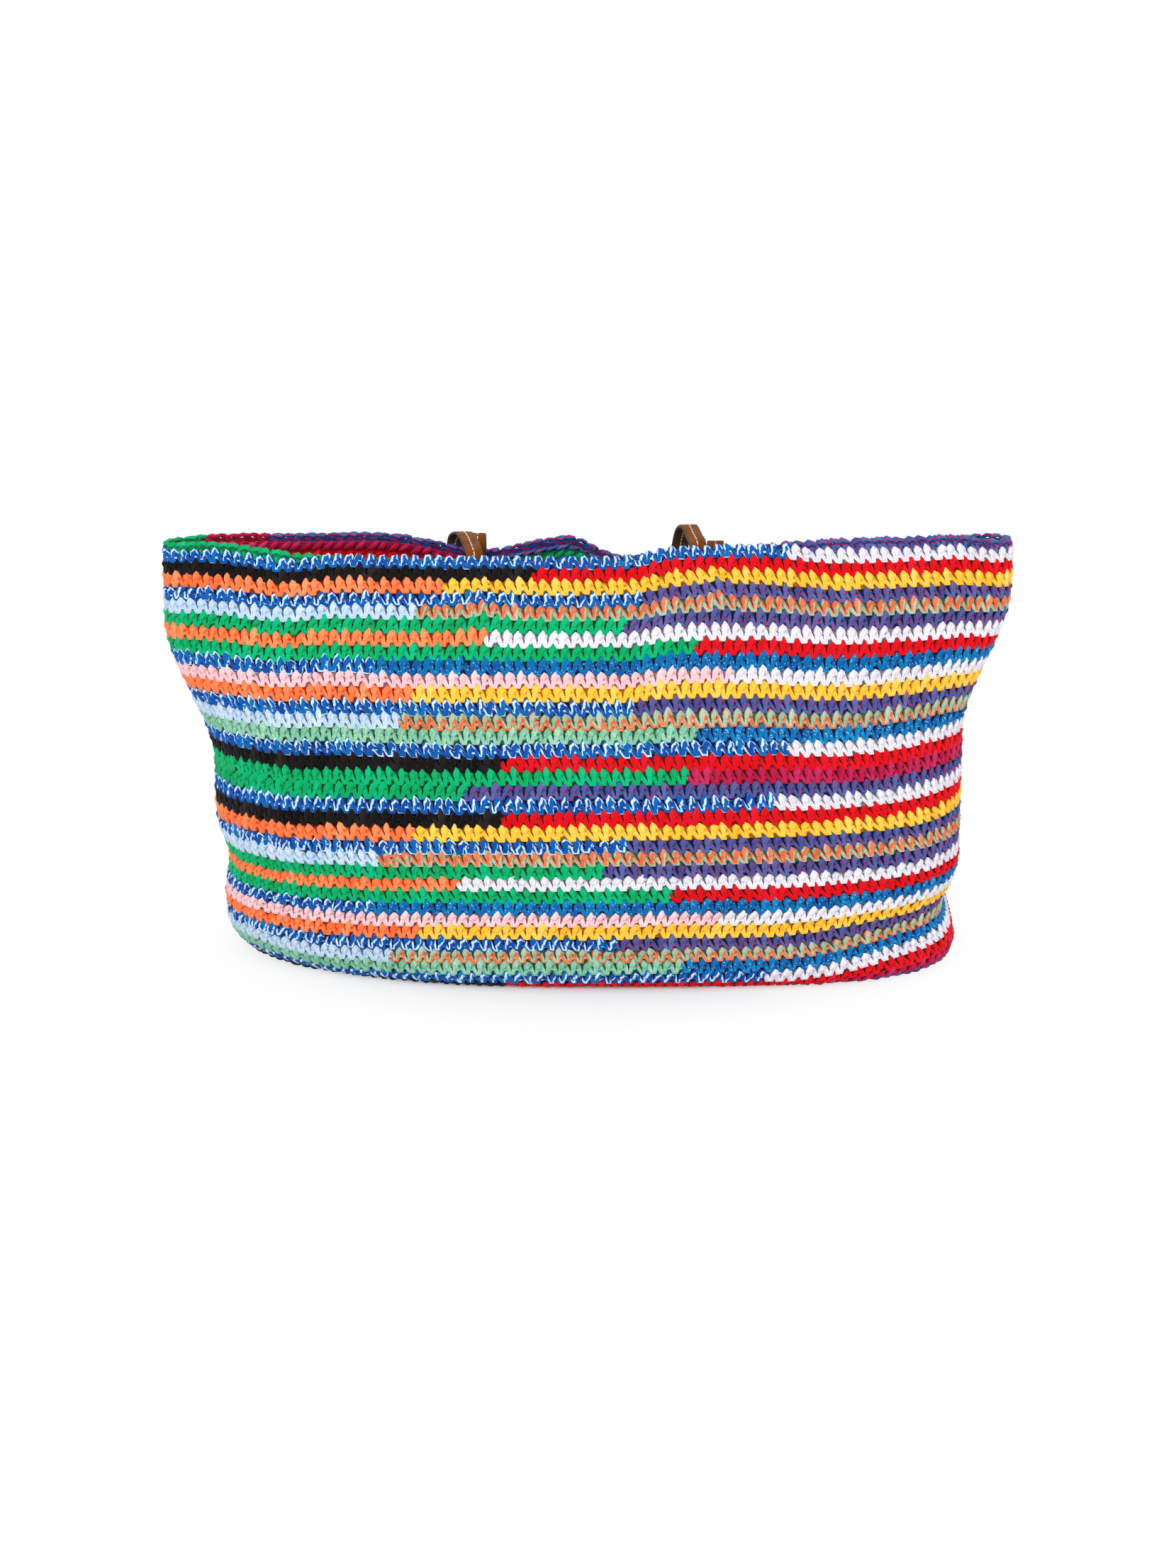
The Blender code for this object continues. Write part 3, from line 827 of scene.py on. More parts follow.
class Yarn(Enum):
    """The yarns of the bag."""

    DENIM = YarnFinish(
        "denim", (0.00, 0.35, 0.69), (0.80, 0.90, 0.98), split=0.71, swap_length=30.0, fullness=0.95
    )
    BLACK = YarnFinish("black", (0.09, 0.07, 0.07), (0.10, 0.08, 0.08))
    ORANGE = YarnFinish("orange", (1.00, 0.48, 0.26), (1.00, 0.54, 0.33), fullness=1.05)
    PALE_BLUE = YarnFinish("pale_blue", (0.74, 0.83, 0.92), (0.78, 0.86, 0.94), fullness=1.04)
    GREEN = YarnFinish("green", (0.00, 0.67, 0.41), (0.00, 0.71, 0.44))
    PINK = YarnFinish("pink", (0.95, 0.78, 0.80), (0.96, 0.81, 0.83), fullness=0.97)
    MINT = YarnFinish(
        "mint_sparkle", (0.47, 0.73, 0.62), (0.54, 0.77, 0.67), painted_glint=(0.85, 0.98, 0.45), glint_share=0.14
    )
    WHITE = YarnFinish("white", (0.88, 0.87, 0.90), (0.91, 0.90, 0.94), fullness=1.06)
    RED = YarnFinish("red", (0.87, 0.01, 0.07), (0.90, 0.03, 0.10), fullness=0.94)
    YELLOW = YarnFinish("yellow", (1.00, 0.76, 0.21), (1.00, 0.80, 0.30), fullness=1.03)
    PURPLE = YarnFinish(
        "purple_mix",
        (0.08, 0.40, 0.66),
        (0.68, 0.15, 0.39),
        split=0.66,
        pairs=2,
        swap_length=30.0,
        fullness=0.86,
    )
    SHERBET = YarnFinish("mint_orange", (0.60, 0.76, 0.64), (0.95, 0.44, 0.26), split=0.5)
    ROYAL = YarnFinish(
        "royal_sparkle",
        (0.00, 0.40, 0.66),
        (0.00, 0.46, 0.73),
        painted_glint=(0.62, 0.90, 1.0),
        glint_share=0.18,
        fullness=0.94,
    )
    CRIMSON = YarnFinish("crimson", (0.72, 0.07, 0.27), (0.76, 0.13, 0.33), fullness=0.97)


@dataclass(frozen=True)
class Stripe:
    """One row of the stripes: its yarns, and where each repeat changes from one to the other."""

    first: Yarn
    second: Yarn
    upper_change: float
    lower_change: float


STRIPES = (
    Stripe(Yarn.DENIM, Yarn.WHITE, 0.124, 0.115),
    Stripe(Yarn.BLACK, Yarn.RED, -0.030, -0.050),
    Stripe(Yarn.ORANGE, Yarn.YELLOW, -0.092, -0.111),
    Stripe(Yarn.DENIM, Yarn.PURPLE, 0.034, 0.026),
    Stripe(Yarn.PALE_BLUE, Yarn.SHERBET, -0.111, -0.125),
    Stripe(Yarn.GREEN, Yarn.PURPLE, 0.022, 0.010),
    Stripe(Yarn.ORANGE, Yarn.WHITE, -0.066, -0.078),
    Stripe(Yarn.GREEN, Yarn.RED, 0.069, 0.057),
    Stripe(Yarn.DENIM, Yarn.ROYAL, -0.131, -0.137),
    Stripe(Yarn.PINK, Yarn.WHITE, 0.092, 0.080),
    Stripe(Yarn.ORANGE, Yarn.YELLOW, -0.106, -0.111),
    Stripe(Yarn.DENIM, Yarn.PURPLE, 0.027, 0.020),
    Stripe(Yarn.PALE_BLUE, Yarn.SHERBET, -0.120, -0.121),
    Stripe(Yarn.MINT, Yarn.ROYAL, 0.064, 0.057),
    Stripe(Yarn.DENIM, Yarn.WHITE, 0.117, 0.109),
    Stripe(Yarn.BLACK, Yarn.RED, -0.048, -0.049),
    Stripe(Yarn.GREEN, Yarn.CRIMSON, 0.056, 0.074),
    Stripe(Yarn.GREEN, Yarn.PURPLE, -0.075, -0.074),
)
LAST_ROUND_STOPS = -0.196


def yarn_of(row: int, x: float, front: bool) -> Yarn:
    """Finds the yarn of a stitch. The back's stripes run the other way up and the other way across.

    The last round stops short of the left end at the back, where the row below it makes the rim.

    Args:
        row: Row of the stitch, counted down from the rim.
        x: Place from left to right.
        front: Whether it is on the front half.

    Returns:
        The yarn.
    """
    if row == 0 and not front and x < LAST_ROUND_STOPS:
        row = 1
    worked = row if front else 2 * len(STRIPES) - row
    stripe = STRIPES[(worked - 1) % len(STRIPES)]
    change = stripe.upper_change if worked <= len(STRIPES) else stripe.lower_change
    reached = x if front else -x
    return stripe.first if reached < change else stripe.second


def finished(
    name: str, mesh: bpy.types.Mesh, materials: list[bpy.types.Material]
) -> bpy.types.Object:
    """Puts a mesh into the scene as a piece of the bag.

    Args:
        name: Name of the piece.
        mesh: Its mesh, in place.
        materials: Its materials.

    Returns:
        The piece.
    """
    piece = placed(name, mesh)
    mesh.name = name
    mesh.materials.clear()
    for material in materials:
        mesh.materials.append(material)
    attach(piece, BODY)
    return piece


def roll_up(work: bmesh.types.BMesh, rings: np.ndarray, closed_ends: bool = True) -> None:
    """Adds a tube, made from a flat grid that is rolled up, joined along its seam and closed at its ends.

    The grid's UV map runs round the tube in U and along it in V.

    Args:
        work: The mesh to add to.
        rings: Points of the tube, by ring, by place round the ring, by axis.
        closed_ends: Whether open ends are filled.
    """
    steps, sides = rings.shape[0] - 1, rings.shape[1]
    made = bmesh.ops.create_grid(work, x_segments=sides, y_segments=steps, size=1.0, calc_uvs=True)["verts"]
    for vertex in made:
        side = round((vertex.co.x + 1.0) / 2.0 * sides)
        step = round((vertex.co.y + 1.0) / 2.0 * steps)
        vertex.co = rings[step, side % sides]
    bmesh.ops.remove_doubles(work, verts=made, dist=SEAM_GAP)
    if closed_ends:
        alive = [vertex for vertex in made if vertex.is_valid]
        edges = {edge for vertex in alive for edge in vertex.link_edges if edge.is_boundary}
        bmesh.ops.holes_fill(work, edges=list(edges), sides=0)


Section = tuple[Pair, ...]
TWO_STRANDS: Section = ((1.0, 0.0), (0.62, 0.76), (0.0, 0.92), (-0.62, 0.76), (-1.0, 0.0))
ONE_STRAND: Section = ((1.0, -0.2), (0.0, 0.85), (-1.0, -0.2))
ROUND: Section = ((1.0, 0.0), (0.5, 0.8), (-0.5, 0.8), (-1.0, 0.0), (-0.5, -0.8), (0.5, -0.8))


@dataclass(frozen=True)
class Rope:
    """One rope of a stitch: points as widths across, rows up, millimetres out and half-widths."""

    points: tuple[tuple[float, float, float, float], ...]
    section: Section = TWO_STRANDS

    def rings(self, width: float, pitch: float, fullness: float) -> tuple[np.ndarray, np.ndarray]:
        """Works out the rings of the rope.

        Args:
            width: Width of the stitch in millimetres.
            pitch: Height of a row in millimetres.
            fullness: How thick the yarn is beside the one that the rope is drawn for.

        Returns:
            Points by ring, by place round the ring, by axis, and the way along the rope to each ring.
        """
        table = np.array(self.points)
        path = table[:, :3] * np.array((width, pitch, 1.0))
        tangents = np.gradient(path, axis=0)
        tangents /= np.linalg.norm(tangents, axis=1, keepdims=True)
        across = np.cross(tangents, np.array([0.0, 0.0, 1.0]))
        across /= np.maximum(np.linalg.norm(across, axis=1, keepdims=True), Skin.LEAST_LENGTH)
        outward = np.cross(across, tangents)
        section = np.array(self.section)
        wide = section[None, :, 0:1] * across[:, None, :]
        thick = section[None, :, 1:2] * outward[:, None, :]
        rings = path[:, None, :] + (wide + thick) * (fullness * table[:, 3])[:, None, None]
        return rings, lengths_along(path)


@dataclass(frozen=True)
class StitchShape:
    """A stitch worked flat: its ropes, and the width and height that they are drawn for."""

    ropes: tuple[Rope, ...]
    width: float = 7.4
    pitch: float = 8.1

    def mesh(self, name: str, fullness: float = 1.0) -> bpy.types.Mesh:
        """Makes one stitch as a flat mesh in millimetres.

        Args:
            name: Name of the mesh.
            fullness: How thick the yarn is.

        Returns:
            The mesh, with a UV map that runs along the strand in millimetres and once round it.
        """
        work = bmesh.new()
        layer = work.loops.layers.uv.new("strand")
        start = 0.0
        for rope in self.ropes:
            rings, way = rope.rings(self.width, self.pitch, fullness)
            before = set(work.faces)
            roll_up(work, rings)
            shares = np.linspace(0.0, 1.0, len(way))
            for face in set(work.faces) - before:
                face.smooth = True
                for loop in face.loops:
                    around, along = loop[layer].uv
                    loop[layer].uv = (start + float(np.interp(along, shares, way)), around)
            start += way[-1]
        bmesh.ops.recalc_face_normals(work, faces=work.faces)
        return mesh_of(work, name)


LEGS = Rope((
    (-0.26, 0.82, -1.30, 1.20),
    (-0.27, 0.48, 0.00, 1.80),
    (-0.15, 0.10, 0.15, 1.85),
    (0.15, 0.10, 0.15, 1.85),
    (0.27, 0.46, 0.00, 1.75),
    (0.28, 0.68, -1.50, 1.10),
))
BAR = Rope(((0.16, 0.34, -0.70, 1.30), (0.50, 0.44, 0.05, 1.95), (0.84, 0.50, -0.70, 1.30)), ONE_STRAND)
WALL_STITCH = StitchShape((
    LEGS,
    Rope((
        (0.24, 0.44, -0.80, 1.30),
        (0.30, 0.62, 0.10, 2.10),
        (0.42, 0.84, 0.50, 2.25),
        (0.56, 1.06, 0.38, 1.62),
        (0.70, 0.94, -0.15, 1.65),
        (0.84, 0.70, -0.90, 1.20),
    )),
    BAR,
))
RIM_STITCH = StitchShape((
    LEGS,
    Rope((
        (-0.20, 0.66, -0.30, 1.30),
        (0.06, 0.86, 0.45, 1.75),
        (0.40, 0.97, 0.55, 1.90),
        (0.74, 0.88, -0.10, 1.70),
        (1.00, 0.70, -1.20, 1.20),
    )),
    Rope((
        (-0.12, 0.62, -2.20, 1.20),
        (0.06, 0.86, -3.30, 1.80),
        (0.36, 1.00, -3.60, 1.95),
        (0.68, 0.96, -2.80, 1.75),
        (0.96, 0.82, -1.70, 1.30),
    ), ROUND),
    BAR,
))
BASE_STITCH = StitchShape((
    Rope((
        (-0.45, 0.92, -0.90, 1.40),
        (-0.24, 0.36, 0.20, 1.75),
        (0.00, -0.04, -0.10, 1.40),
        (0.24, 0.36, 0.20, 1.75),
        (0.45, 0.92, -0.90, 1.40),
    )),
))
WRONG_SIDE_STITCH = StitchShape((
    Rope((
        (-0.24, 0.04, -0.90, 1.20),
        (-0.16, 0.26, 0.30, 2.00),
        (0.00, 0.54, 0.65, 2.35),
        (0.17, 0.82, 0.25, 1.95),
        (0.26, 1.02, -0.90, 1.10),
    )),
    Rope(((0.20, 0.30, -0.90, 1.00), (0.52, 0.42, -0.20, 1.50), (0.84, 0.54, -0.90, 1.00)), ONE_STRAND),
))


class Face(Enum):
    """The two faces of the crochet, as the sign of the way out."""

    RIGHT_SIDE = 1
    WRONG_SIDE = -1


@dataclass
class Rounds:
    """How the rows lie on the skin: counts, leans and corners, the tugs below the straps, and the rim."""

    skin: Skin
    around: int = 157
    seed: int = 17
    lean: float = 0.22
    lean_jitter: float = 0.15
    lean_limits: Pair = (-1.4, 1.8)
    width_jitter: float = 0.05
    peak_jitter: float = 0.06
    jitter_limit: float = 1.5
    pattern_shift: float = 40.0
    corner_turns: Pair = (0.012, 0.036)
    tight_roll: float = 0.32
    tuck_depth: float = 3.2
    tuck_span: float = 0.5
    tuck_sides: Pair = (1.0, -0.4)
    tugs: tuple[Pair, ...] = ((0.079, 3.6), (-0.064, 4.4))
    tug_pull: float = 0.5
    tug_reach: Pair = (0.008, 2.2)
    front_stand: Pair = (0.60, 0.85)
    front_left_ramp: Pair = (0.150, 0.040)
    front_right_ramp: Pair = (0.098, 0.065)
    back_stand: Triple = (0.35, 1.00, 0.45)
    back_right_ramp: Pair = (0.10, 0.06)
    hump_place: float = -0.022
    hump_width: float = 0.040
    hump_power: int = 4
    end_ramp: Pair = (-0.262, 0.012)
    upright_from: float = 0.35

    def __post_init__(self) -> None:
        """Draws what differs from row to row, and works out where the rim stands."""
        draw = np.random.default_rng(self.seed)
        count = self.skin.last_row + 1
        limits = (-self.jitter_limit, self.jitter_limit)
        self.phase = draw.uniform(0.0, self.pattern_shift, count)
        self.row_width = 1.0 + self.width_jitter * draw.normal(size=count).clip(*limits)
        self.row_peak = self.peak_jitter * draw.normal(size=count).clip(*limits)
        self.leans = self.lean + self.lean_jitter * draw.normal(size=count).clip(*self.lean_limits)
        self.corners = draw.uniform(*self.corner_turns, count)
        self.drift = np.concatenate((np.cumsum(self.leans[::-1])[::-1][1:], [0.0]))
        x = self.skin.mouth[:, 0]
        front = self.skin.turns < 0.5
        left, right = self.front_stand
        on_front = left * ramp(-x, self.front_left_ramp) + right * ramp(x, self.front_right_ramp)
        back_left, hump, back_right = self.back_stand
        peak = np.exp(-(((x - self.hump_place) / self.hump_width) ** self.hump_power))
        on_back = np.where(x < self.hump_place, back_left, back_right * ramp(x, self.back_right_ramp))
        on_back = on_back + (hump - on_back) * peak
        ends = np.where(x < 0.0, left, right)
        on_back = ends + (on_back - ends) * ramp(-np.abs(x), self.end_ramp)
        self.stand = np.where(front, on_front, on_back)
        self.upright = np.where(front, smooth_step(on_front / self.upright_from), 1.0)

    def at(self, turns: np.ndarray, values: np.ndarray) -> np.ndarray:
        """Reads values that are listed by turn."""
        return np.interp(turns % 1.0, self.skin.turns, values)

    def count(self, row: int) -> int:
        """Counts the stitches of a row. The rounds of the base get shorter towards its middle.

        Args:
            row: The row, counted down from the rim.

        Returns:
            How many stitches it has.
        """
        rows = self.skin.form.rows
        if row <= rows:
            return self.around
        ring = self.skin.points[:, np.searchsorted(self.skin.rows, row - 0.5)]
        outer = self.skin.points[:, np.searchsorted(self.skin.rows, rows - 2)]
        return round(self.around * lengths_along(ring)[-1] / lengths_along(outer)[-1])

    def tuck(self, turns: np.ndarray) -> np.ndarray:
        """Measures how far the foot of the rim row lies behind the next row.

        Args:
            turns: Shares of the way round.

        Returns:
            The way in, in millimetres.
        """
        stand, upright = self.at(turns, self.stand), self.at(turns, self.upright)
        inward = np.where(turns % 1.0 < 0.5, *self.tuck_sides)
        return inward * self.tuck_depth * np.clip(upright - stand, 0.0, 1.0) / self.tuck_span

    def on_skin(self, turns: np.ndarray, rows: np.ndarray, is_rim: np.ndarray | bool = False) -> np.ndarray:
        """Finds the skin's row for a place in the work.

        Args:
            turns: Shares of the way round.
            rows: Rows as worked.
            is_rim: Whether the place belongs to the rim row, which alone rolls in.

        Returns:
            Rows of the skin.
        """
        stand, upright = self.at(turns, self.stand), self.at(turns, self.upright)
        fade = (1.0 - np.clip(rows / self.skin.form.rows, 0.0, 1.0)) ** 2
        rim = upright - self.tight_roll * (1.0 - upright)
        moved = rows + np.where(is_rim, rim, stand * fade)
        x = self.at(turns, self.skin.mouth[:, 0])
        for place, row in self.tugs:
            near = np.exp(-np.abs((x - place) / self.tug_reach[0]) - ((rows - row) / self.tug_reach[1]) ** 2)
            moved = moved - np.where(turns % 1.0 < 0.5, self.tug_pull * near, 0.0)
        return moved


@dataclass
class Course:
    """A set of stitches of one shape on one face of the crochet, whose depths are in millimetres."""

    rounds: Rounds
    shape: StitchShape
    first_row: int
    last_row: int
    face: Face = Face.RIGHT_SIDE
    depth: float = 0.35
    width_jitter: float = 0.07
    place_jitter: float = 0.06
    lean_jitter: float = 0.12
    peak_jitter: float = 0.10
    rise_jitter: float = 0.03
    proud_jitter: float = 0.18
    shade_jitter: float = 0.06
    pattern_jitter: float = 4.0
    change_jitter: float = 0.003
    foot_width: float = 0.35
    rim_depths: Pair = (-0.5, -3.5)
    # Painted shade of a stitch: its deepest parts get the first number, and its crown up to the second more.
    shades: Pair = (0.70, 0.30)
    shade_ramp: Pair = (-1.6, 2.2)
    draws_each: int = 6
    draw_limit: float = 2.0
    floor_gap: float = 0.0002

    def __post_init__(self) -> None:
        """Lists the stitches, and draws how each differs from the next."""
        rows = range(self.first_row, self.last_row + 1)
        counts = [self.rounds.count(row) for row in rows]
        self.rows = np.repeat(list(rows), counts)
        self.columns = np.concatenate([np.arange(count) for count in counts])
        self.counts = np.repeat(counts, counts)
        draw = np.random.default_rng((self.rounds.seed, self.first_row, self.face.value + 1))
        drawn = draw.normal(size=(len(self.rows), self.draws_each))
        self.draws = drawn.clip(-self.draw_limit, self.draw_limit)
        self.yarns = self._find_yarns()

    def turns_of(self, across: np.ndarray, up: np.ndarray, chosen: np.ndarray) -> np.ndarray:
        """Finds the way round of places in stitches.

        Args:
            across: Widths from the middle of each stitch.
            up: Rows up from the foot of each stitch.
            chosen: Which stitches.

        Returns:
            Shares of the way round.
        """
        rows = self.rows[chosen]
        leaned = self.rounds.leans[rows][:, None] * up + self.rounds.drift[rows][:, None]
        return (self.columns[chosen][:, None] + 0.5 + across - leaned) / self.counts[chosen][:, None]

    def _find_yarns(self) -> np.ndarray:
        """Finds the yarn of every stitch.

        Returns:
            The yarns, as their place in the list of yarns.
        """
        everything = np.arange(len(self.rows))
        middle = np.full((len(everything), 1), 0.5)
        turns = self.turns_of(0.0 * middle, middle, everything)
        skin_rows = self.rounds.on_skin(turns, self.rows[:, None] - middle)
        places = self.rounds.skin.lay(turns, skin_rows, 0.0 * middle)[:, 0]
        order = list(Yarn)
        corners = self.rounds.corners[self.rows]
        fronts = (turns[:, 0] + corners) % 1.0 < 0.5 + 2.0 * corners
        return np.array([
            order.index(yarn_of(int(row), float(place[0] + self.change_jitter * draw), bool(front)))
            for row, place, front, draw in zip(self.rows, places, fronts, self.draws[:, 0])
        ])

    def standing(self, least: float) -> np.ndarray:
        """Tells which stitches are where the rim row stands above the others by so many rows."""
        turns = (self.columns + 0.5 - self.rounds.drift[self.rows]) / self.counts
        return self.rounds.at(turns, self.rounds.stand) > least

    def lay(self, chosen: np.ndarray, local: np.ndarray) -> tuple[np.ndarray, np.ndarray]:
        """Lays copies of the flat stitch on the skin.

        Args:
            chosen: Which stitches.
            local: Points of one flat stitch, in millimetres.

        Returns:
            The points by stitch, and the painted shade of each point: darker deep in the stitch, times a tone
            that differs at random from stitch to stitch.
        """
        rounds, draws = self.rounds, self.draws[chosen]
        row = self.rows[chosen]
        sign = self.face.value
        across = (sign * local[:, 0] / self.shape.width)[None, :]
        up = (local[:, 1] / self.shape.pitch)[None, :]
        out = local[:, 2][None, :]
        width = 1.0 + self.width_jitter * draws[:, 0:1]
        across = across * width + self.place_jitter * draws[:, 1:2]
        narrow = rounds.row_width[row][:, None]
        across = across * np.where(np.abs(across) < self.foot_width, narrow, 1.0)
        across = across + draws[:, 4:5] * self.lean_jitter * (up - 0.5)
        peak = 1.0 + rounds.row_peak[row][:, None] + self.peak_jitter * draws[:, 2:3]
        up = np.where(up > 0.5, 0.5 + (up - 0.5) * peak, up) + self.rise_jitter * draws[:, 3:4]
        turns = self.turns_of(across, up, chosen)
        worked = row[:, None] - up
        skin_rows = rounds.on_skin(turns, worked, (row == 0)[:, None])
        proud = sign * (out + self.proud_jitter * draws[:, 5:6]) - self.depth
        if self.first_row == 0 and self.face is Face.RIGHT_SIDE:
            level, upright = self.rim_depths
            proud = np.maximum(proud, level + upright * rounds.at(turns, rounds.upright))
            proud = proud - rounds.tuck(turns) * (1.0 - np.clip(up, 0.0, 1.0))
        points = rounds.skin.lay(turns, skin_rows, proud * MM)
        points[..., 2] = np.maximum(points[..., 2], self.floor_gap)
        # Painted shade: points deep in the stitch are darker, times a tone that differs at random from stitch
        # to stitch.
        deepest, more = self.shades
        shade = (1.0 + self.shade_jitter * draws[:, 2:3]) * (deepest + more * ramp(out, self.shade_ramp))
        return points, shade

    def build(
        self, name: str, chosen: np.ndarray, dyes: dict[Yarn, bpy.types.Material], fullness: float = 1.0
    ) -> bpy.types.Object:
        """Makes some of the stitches.

        Args:
            name: Name of the piece.
            chosen: Which stitches.
            dyes: The yarns' materials.
            fullness: How thick the yarn is.

        Returns:
            The piece.
        """
        flat = self.shape.mesh("stitch", fullness)
        faces = len(flat.polygons)
        mesh = copies_of(flat, len(chosen))
        points, shade = self.lay(chosen, points_of(flat))
        mesh.vertices.foreach_set("co", points.reshape(-1))
        # The painted shade, with its random tone, goes onto the points for the yarn's finish.
        mark(mesh, "shade", np.broadcast_to(shade, points.shape[:2]).reshape(-1))
        self.shift_pattern(mesh, chosen)
        used = sorted(set(self.yarns[chosen].tolist()))
        slots = np.searchsorted(used, self.yarns[chosen])
        mesh.update()
        piece = finished(name, mesh, [dyes[list(Yarn)[index]] for index in used])
        mesh.polygons.foreach_set("material_index", np.repeat(slots, faces))
        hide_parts("crochet_body")
        LOG.info("%s: %d stitches, %d faces", piece.name, len(chosen), len(mesh.polygons))
        return piece

    def shift_pattern(self, mesh: bpy.types.Mesh, chosen: np.ndarray) -> None:
        """Moves the strands' pattern along each stitch, much alike within a row and at random between rows.

        Args:
            mesh: The copies of the stitch.
            chosen: Which stitches they are.
        """
        layer = mesh.uv_layers["strand"].uv
        values = np.zeros(len(layer) * 2)
        layer.foreach_get("vector", values)
        values = values.reshape(len(chosen), -1, 2)
        drift = self.rounds.phase[self.rows[chosen]] + self.pattern_jitter * self.draws[chosen, 1]
        values[..., 0] += drift[:, None]
        layer.foreach_set("vector", values.reshape(-1))


def copies_of(mesh: bpy.types.Mesh, count: int) -> bpy.types.Mesh:
    """Copies a mesh a number of times into one mesh, in order.

    Args:
        mesh: The mesh to copy.
        count: How many copies to make.

    Returns:
        The new mesh.
    """
    carrier = placed("copies", mesh)
    array = carrier.modifiers.new("copies", "ARRAY")
    array.count = count
    graph = bpy.context.evaluated_depsgraph_get()
    made = bpy.data.meshes.new_from_object(carrier.evaluated_get(graph), depsgraph=graph)
    bpy.data.objects.remove(carrier, do_unlink=True)
    return made


@dataclass(frozen=True)
class Backing:
    """The closed shell between the stitches of both faces. Depths, floors and gaps are in millimetres."""

    rounds: Rounds
    columns: int = 150
    outer_depth: float = 1.15
    inner_depth: float = 3.7
    bump: float = 0.7
    bump_start: float = 0.5
    steps_per_row: int = 2
    top_row: float = 0.36
    back_top_row: float = -0.06
    lip_rows: tuple[float, ...] = (0.5, 0.0, -0.5, -1.05)
    outer_floor: float = 1.6
    inner_floor: float = 3.6
    brick_share: float = 0.4
    rib_share: float = 0.6
    # Painted shade of the shell: its outer face, seen in the holes between stitches, is much darker; its
    # inner face a little.
    outer_shade: float = 0.58
    inner_shade: float = 0.85
    inner_stretch: float = 5.0
    strand_share: float = 0.8
    weld_gap: float = 0.05

    def profile(self) -> np.ndarray:
        """Lists the shell's rings from the middle of the underside, up the outside and down the inside.

        Returns:
            Worked row, depth in millimetres and whether it is inside, one ring a row.
        """
        last = self.rounds.skin.last_row
        inner_rows = np.linspace(1.0, last, (last - 1) * self.steps_per_row + 1)
        outer = [(row, self.outer_depth, 0.0) for row in (*range(last, 0, -1), *self.lip_rows)]
        inner = [(row, self.inner_depth, 1.0) for row in (*self.lip_rows[::-1], *inner_rows)]
        return np.array(outer + inner)

    @staticmethod
    def zipped(ring: np.ndarray) -> np.ndarray:
        """Closes a ring into a line along the middle, where its front half meets its back half.

        Args:
            ring: Points of the ring, from the left corner along the front and back.

        Returns:
            The points, of which each on the front has one on the back in its place.
        """
        line = (ring + np.roll(ring[::-1], 1, axis=0)) / 2.0
        line[:, 1] = 0.0
        return line

    def build(self, dyes: dict[Yarn, bpy.types.Material]) -> bpy.types.Object:
        """Makes the shell.

        Args:
            dyes: The yarns' materials.

        Returns:
            The piece.
        """
        profile = self.profile()
        numbers = np.arange(self.columns)[None, :]
        turns = np.broadcast_to(numbers / self.columns, (len(profile), self.columns))
        worked, depth, inside = (np.broadcast_to(column[:, None], turns.shape) for column in profile.T)
        brick = np.cos(math.pi * (numbers + np.floor(worked)))
        ribs = np.cos(2.0 * math.pi * worked)
        top = np.where(turns < 0.5, self.top_row, self.back_top_row)
        rows = np.maximum(self.rounds.on_skin(turns, worked), top)
        bump = self.bump * smooth_step((rows - top) / self.bump_start)
        depth = depth + inside * bump * (self.brick_share * brick + self.rib_share * ribs)
        rings = self.rounds.skin.lay(turns, rows, -depth * MM)
        lowest = np.where(inside > 0.0, self.inner_floor, self.outer_floor)
        rings[..., 2] = np.maximum(rings[..., 2], lowest * MM)
        for end in (0, -1):
            rings[end] = self.zipped(rings[end])
        work = bmesh.new()
        layer = work.loops.layers.uv.new("strand")
        roll_up(work, rings, closed_ends=False)
        bmesh.ops.remove_doubles(work, verts=work.verts, dist=self.weld_gap * MM)
        bmesh.ops.recalc_face_normals(work, faces=work.faces)
        yarns = self.dress(work, layer, profile)
        mesh = mesh_of(work, "backing")
        piece = finished("crochet_backing", mesh, [dyes[yarn] for yarn in Yarn])
        mesh.polygons.foreach_set("material_index", yarns)
        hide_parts("crochet_body")
        LOG.info("%s: %d faces", piece.name, len(mesh.polygons))
        return piece

    def dress(
        self, work: bmesh.types.BMesh, layer: bmesh.types.BMLayerItem, profile: np.ndarray
    ) -> list[int]:
        """Lays the strands' pattern along the rows of the shell, gives it painted shade, and finds its yarns.

        Args:
            work: The shell, whose pattern runs once round it and once along its rings.
            layer: The pattern's UV map.
            profile: The rings, as listed.

        Returns:
            The yarn of each face, as its place in the list of yarns.
        """
        spans = len(profile) - 1
        last_outside = spans - np.count_nonzero(profile[:, 2])
        around = self.rounds.around * WALL_STITCH.width
        shade = work.verts.layers.float.new("shade")
        order = list(Yarn)
        yarns = []
        for face in work.faces:
            face.smooth = True
            along = [loop[layer].uv[1] * spans for loop in face.loops]
            row = float(np.mean(np.interp(along, np.arange(spans + 1), profile[:, 0])))
            middle = face.calc_center_median()
            yarns.append(order.index(yarn_of(max(math.ceil(row), 0), middle.x, middle.y < 0.0)))
            inside = float(np.mean(along)) > last_outside
            length = around * (self.inner_stretch if inside else 1.0)
            for loop, step in zip(face.loops, along):
                loop[layer].uv = (loop[layer].uv[0] * length, self.strand_share * (step - min(along)))
                # Painted shade: darker on the outer face than on the inner one.
                loop.vert[shade] = self.inner_shade if inside else self.outer_shade
        return yarns


